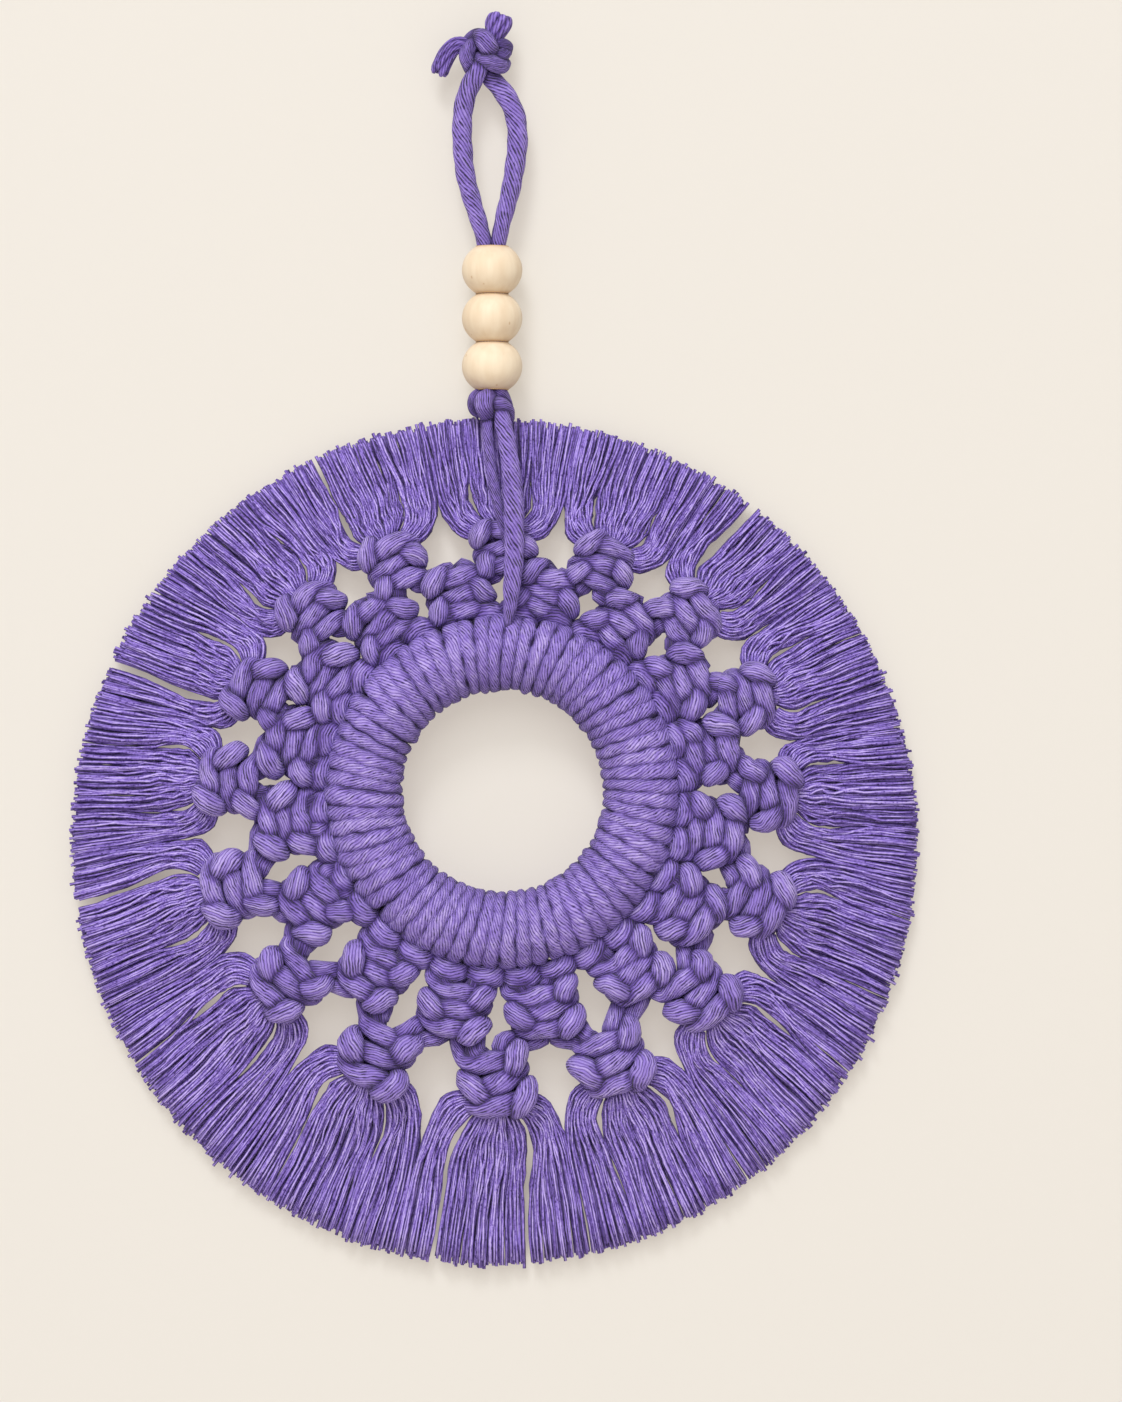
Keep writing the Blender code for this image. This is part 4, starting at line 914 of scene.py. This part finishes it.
def bead_wood():
    """Bare pale wood: long streaks of noise along the bore, small dark pores, and painted shade in
    brown at the rims and foot.

    A pore is the middle of a cell of a Voronoi pattern, in the few cells whose random colour is dark.
    The attribute from the mesh is the share of brown that paints the shade in the grooves where the
    beads' rims meet and at their feet.
    """
    made = bpy.data.materials.new("bare turned wood")
    made.use_nodes = True
    tree = made.node_tree
    shader = tree.nodes["Principled BSDF"]
    place = tree.nodes.new("ShaderNodeTexCoord")
    axes = tree.nodes.new("ShaderNodeSeparateXYZ")
    tree.links.new(place.outputs["Object"], axes.inputs[0])
    x, y, z = axes.outputs
    streaks = noise(tree, x, y, scaled(tree, z, GRAIN_STRETCH), GRAIN_SCALE, GRAIN_DETAIL)
    clouds = noise(tree, x, y, z, CLOUD_SCALE, CLOUD_DETAIL)
    blend = maths(tree, "ADD", scaled(tree, streaks, GRAIN_SHARE), scaled(tree, clouds, CLOUD_SHARE))
    ramp = tree.nodes.new("ShaderNodeValToRGB")
    for element, (at, *colour) in zip(ramp.color_ramp.elements, WOOD_COLOURS):
        element.position = at
        element.color = (*colour, 1.0)
    tree.links.new(blend, ramp.inputs[0])
    pores = tree.nodes.new("ShaderNodeTexVoronoi")
    pores.inputs["Scale"].default_value = PORE_SCALE
    stretch = tree.nodes.new("ShaderNodeCombineXYZ")
    for socket, value in zip(stretch.inputs, (x, y, scaled(tree, z, PORE_STRETCH))):
        tree.links.new(value, socket)
    tree.links.new(stretch.outputs[0], pores.inputs["Vector"])
    lot = tree.nodes.new("ShaderNodeSeparateColor")
    tree.links.new(pores.outputs["Color"], lot.inputs[0])
    near = maths(tree, "LESS_THAN", pores.outputs["Distance"], PORE_SIZE)
    few = maths(tree, "LESS_THAN", lot.outputs[0], PORE_NUMBER)
    dot = scaled(tree, scaled(tree, near, few), PORE_BROWN)
    mix = tree.nodes.new("ShaderNodeMix")
    mix.data_type = "RGBA"
    mix.inputs["B"].default_value = PORE_AND_SHADE_BROWN
    painted_shade_share = tree.nodes.new("ShaderNodeAttribute")
    painted_shade_share.attribute_name = "painted_shade_and_tone"
    tree.links.new(maths(tree, "MAXIMUM", dot, painted_shade_share.outputs["Fac"]), mix.inputs["Factor"])
    tree.links.new(ramp.outputs[0], mix.inputs["A"])
    tree.links.new(mix.outputs["Result"], shader.inputs["Base Color"])
    bump = tree.nodes.new("ShaderNodeBump")
    bump.inputs["Strength"].default_value = 0.25
    bump.inputs["Distance"].default_value = 0.05 * MM
    tree.links.new(streaks, bump.inputs["Height"])
    tree.links.new(bump.outputs[0], shader.inputs["Normal"])
    shader.inputs["Roughness"].default_value = 0.55
    shader.inputs["Specular IOR Level"].default_value = 0.3
    return made


def turned_bead(middle_z):
    """A profile carried round the bore: an ellipse's arc, then the flat rims and the bore.

    On the arc the radius is BEAD_RADIUS times the cosine, and the height goes with the sine.
    """
    rim = np.arccos(BEAD_FLAT / BEAD_RADIUS)
    rise = np.linspace(-rim, rim, BEAD_PROFILE_POINTS)
    arc_height = (BEAD_HALF - BEAD_EDGE) * np.sin(rise) / np.sin(rim)
    rim_radius = np.array((BEAD_FLAT, BEAD_BORE + BEAD_EDGE, BEAD_BORE))
    rim_height = np.array((1.0, 1.0, BEAD_LIP)) * BEAD_HALF
    radius = np.concatenate((rim_radius[::-1], BEAD_RADIUS * np.cos(rise), rim_radius, [BEAD_BORE]))
    height = np.concatenate((-rim_height[::-1], arc_height, rim_height, [0.0]))
    turn = np.linspace(0.0, 2 * np.pi, BEAD_SIDES, endpoint=False)[:, None]
    x, y = BEAD_X + radius * np.cos(turn), BEAD_Y + radius * np.sin(turn)
    return np.stack((x, y, np.broadcast_to(middle_z + height, x.shape)), axis=-1)


wood = bead_wood()
for number in range(BEADS):
    middle_z = BEAD_TOP - BEAD_PITCH * (number + 0.5)
    grid = turned_bead(middle_z)
    # Painted shade in brown: strong at the rims, where the beads meet, and a little at the foot.
    rise = (grid[..., 2] - middle_z) / BEAD_HALF
    brown = (RIM_PAINTED_SHADE * np.exp(-(1.0 - np.abs(rise)) / RIM_WIDTH)
             + FOOT_PAINTED_SHADE * np.clip(-rise, 0.0, 1.0) ** FOOT_POWER)
    around = np.linspace(0.0, 1.0, BEAD_SIDES + 1)[None]
    bead = joined(f"turned_bead_{number + 1}", [(grid[None], around, brown[None])], wood)
    bead.data.set_sharp_from_angle(angle=np.radians(BEAD_CREASE))
    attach(bead, "root")
    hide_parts(f"bead_{number + 1}")

# ---------------------------------------------------------------- room, light and camera
# A cream wall just behind the hanging and a pale floor below, both clear from their backs. The wall
# glows with painted light, less where the fringe casts a painted shadow. One broad soft light and a
# smaller one, both from the upper left, and an even pale surround.
FRAME_HEIGHT = 250.8 * MM
FRAME_MIDDLE = np.array((13.8, 0.0, -109.7)) * MM
HANGING_MIDDLE = np.array((3.0, 0.0, -120.0)) * MM
CAMERA_AWAY = 0.95
SHEET_REACH = 3.0
WALL_Y = 4.5 * MM
FLOOR_Z = -0.3
WALL_COLOUR = (0.308, 0.310, 0.309, 1.0)
WALL_PAINTED_LIGHT = (0.450, 0.401, 0.342, 1.0)  # painted light, for the light that reaches the wall from all round the room
FRINGE_PAINTED_SHADOW = 0.3                   # painted shadow: the share of that light that the fringe keeps off the wall behind it
SHADE_INNER = (55 * MM, 61 * MM)     # from the circle's middle, where the painted shadow starts and is full
SHADE_OUTER = (75 * MM, 71.5 * MM)   # and where it ends, and where it is still full
FLOOR_COLOUR = (0.70, 0.67, 0.62, 1.0)
FLOOR_GLOW = (0.0, 0.0, 0.0, 1.0)
LIGHT_COLOUR = (1.0, 0.985, 0.96)
SURROUND_STRENGTH = 0.5
LIGHTS = [
    # name, metres across, watts, place
    ("soft window", 2.2, 45.0, (-0.3, -2.7, 1.4)),
    ("raking lamp", 0.8, 35.0, (-0.45, -1.7, 1.9)),
]


def plain_sheet(name, corners, colour, painted_light):
    """A flat sheet for the room, clear from behind."""
    mesh = bpy.data.meshes.new(name)
    mesh.from_pydata(corners, [], [(0, 1, 2, 3)])
    sheet = bpy.data.objects.new(name, mesh)
    bpy.context.scene.collection.objects.link(sheet)
    made = bpy.data.materials.new(name + " paint")
    made.use_nodes = True
    tree = made.node_tree
    shader = tree.nodes["Principled BSDF"]
    shader.inputs["Roughness"].default_value = 0.9
    shader.inputs["Base Color"].default_value = colour
    # Painted light: the sheet glows, as though lit from all round the room.
    shader.inputs["Emission Color"].default_value = painted_light
    shader.inputs["Emission Strength"].default_value = 1.0
    geometry = tree.nodes.new("ShaderNodeNewGeometry")
    clear = tree.nodes.new("ShaderNodeBsdfTransparent")
    mix = tree.nodes.new("ShaderNodeMixShader")
    tree.links.new(geometry.outputs["Backfacing"], mix.inputs[0])
    tree.links.new(shader.outputs[0], mix.inputs[1])
    tree.links.new(clear.outputs[0], mix.inputs[2])
    tree.links.new(mix.outputs[0], tree.nodes["Material Output"].inputs["Surface"])
    mesh.materials.append(made)
    return sheet


def rising(tree, value, start, end):
    """0 where the value is at start or before it, 1 at end or past it, and even between."""
    share = maths(tree, "DIVIDE", maths(tree, "SUBTRACT", value, start), end - start)
    return maths(tree, "MINIMUM", maths(tree, "MAXIMUM", share, 0.0), 1.0)


def shaded_by_fringe(sheet):
    """Painted shadow: less painted light behind the fringe, which falls with the way from the trimmed
    circle's middle.
    """
    tree = sheet.data.materials[0].node_tree
    place = tree.nodes.new("ShaderNodeTexCoord")
    axes = tree.nodes.new("ShaderNodeSeparateXYZ")
    tree.links.new(place.outputs["Object"], axes.inputs[0])
    circle = RING_CENTRE + TRIM_CENTRE
    aside = maths(tree, "SUBTRACT", axes.outputs[0], float(circle[0]))
    above = maths(tree, "SUBTRACT", axes.outputs[2], float(circle[2]))
    away = maths(tree, "SQRT", maths(tree, "ADD", scaled(tree, aside, aside),
                                     scaled(tree, above, above)))
    shade = scaled(tree, rising(tree, away, *SHADE_INNER), rising(tree, away, *SHADE_OUTER))
    shader = tree.nodes["Principled BSDF"]
    painted_light = maths(tree, "SUBTRACT", 1.0, scaled(tree, shade, FRINGE_PAINTED_SHADOW))
    tree.links.new(painted_light, shader.inputs["Emission Strength"])


wall_corners = [(x * SHEET_REACH, WALL_Y, z * SHEET_REACH)
                for x, z in ((-1, -1), (1, -1), (1, 1), (-1, 1))]
floor_corners = [(x * SHEET_REACH, y * SHEET_REACH, FLOOR_Z)
                 for x, y in ((-1, -1), (1, -1), (1, 1), (-1, 1))]
shaded_by_fringe(plain_sheet("wall", wall_corners, WALL_COLOUR, WALL_PAINTED_LIGHT))
plain_sheet("floor", floor_corners, FLOOR_COLOUR, FLOOR_GLOW)

surround = bpy.data.worlds.new("pale surround")
surround.use_nodes = True
surround.node_tree.nodes["Background"].inputs["Color"].default_value = (*LIGHT_COLOUR, 1.0)
surround.node_tree.nodes["Background"].inputs["Strength"].default_value = SURROUND_STRENGTH
bpy.context.scene.world = surround
bpy.context.scene.view_settings.view_transform = "Standard"

for name, across, watts, place in LIGHTS:
    light = bpy.data.lights.new(name, "AREA")
    light.shape = "DISK"
    light.size = across
    light.energy = watts
    light.color = LIGHT_COLOUR
    lamp = bpy.data.objects.new(name, light)
    lamp.location = place
    aim = HANGING_MIDDLE - np.array(lamp.location)
    lamp.rotation_euler = Vector(aim).to_track_quat("-Z", "Y").to_euler()
    bpy.context.scene.collection.objects.link(lamp)

camera = bpy.data.cameras.new("front view")
camera.lens = camera.sensor_width * CAMERA_AWAY / FRAME_HEIGHT
camera_place = bpy.data.objects.new("front view", camera)
camera_place.location = (FRAME_MIDDLE[0], -CAMERA_AWAY, FRAME_MIDDLE[2])
camera_place.rotation_euler = (np.pi / 2, 0.0, 0.0)
bpy.context.scene.collection.objects.link(camera_place)
bpy.context.scene.camera = camera_place

bpy.context.view_layer.update()
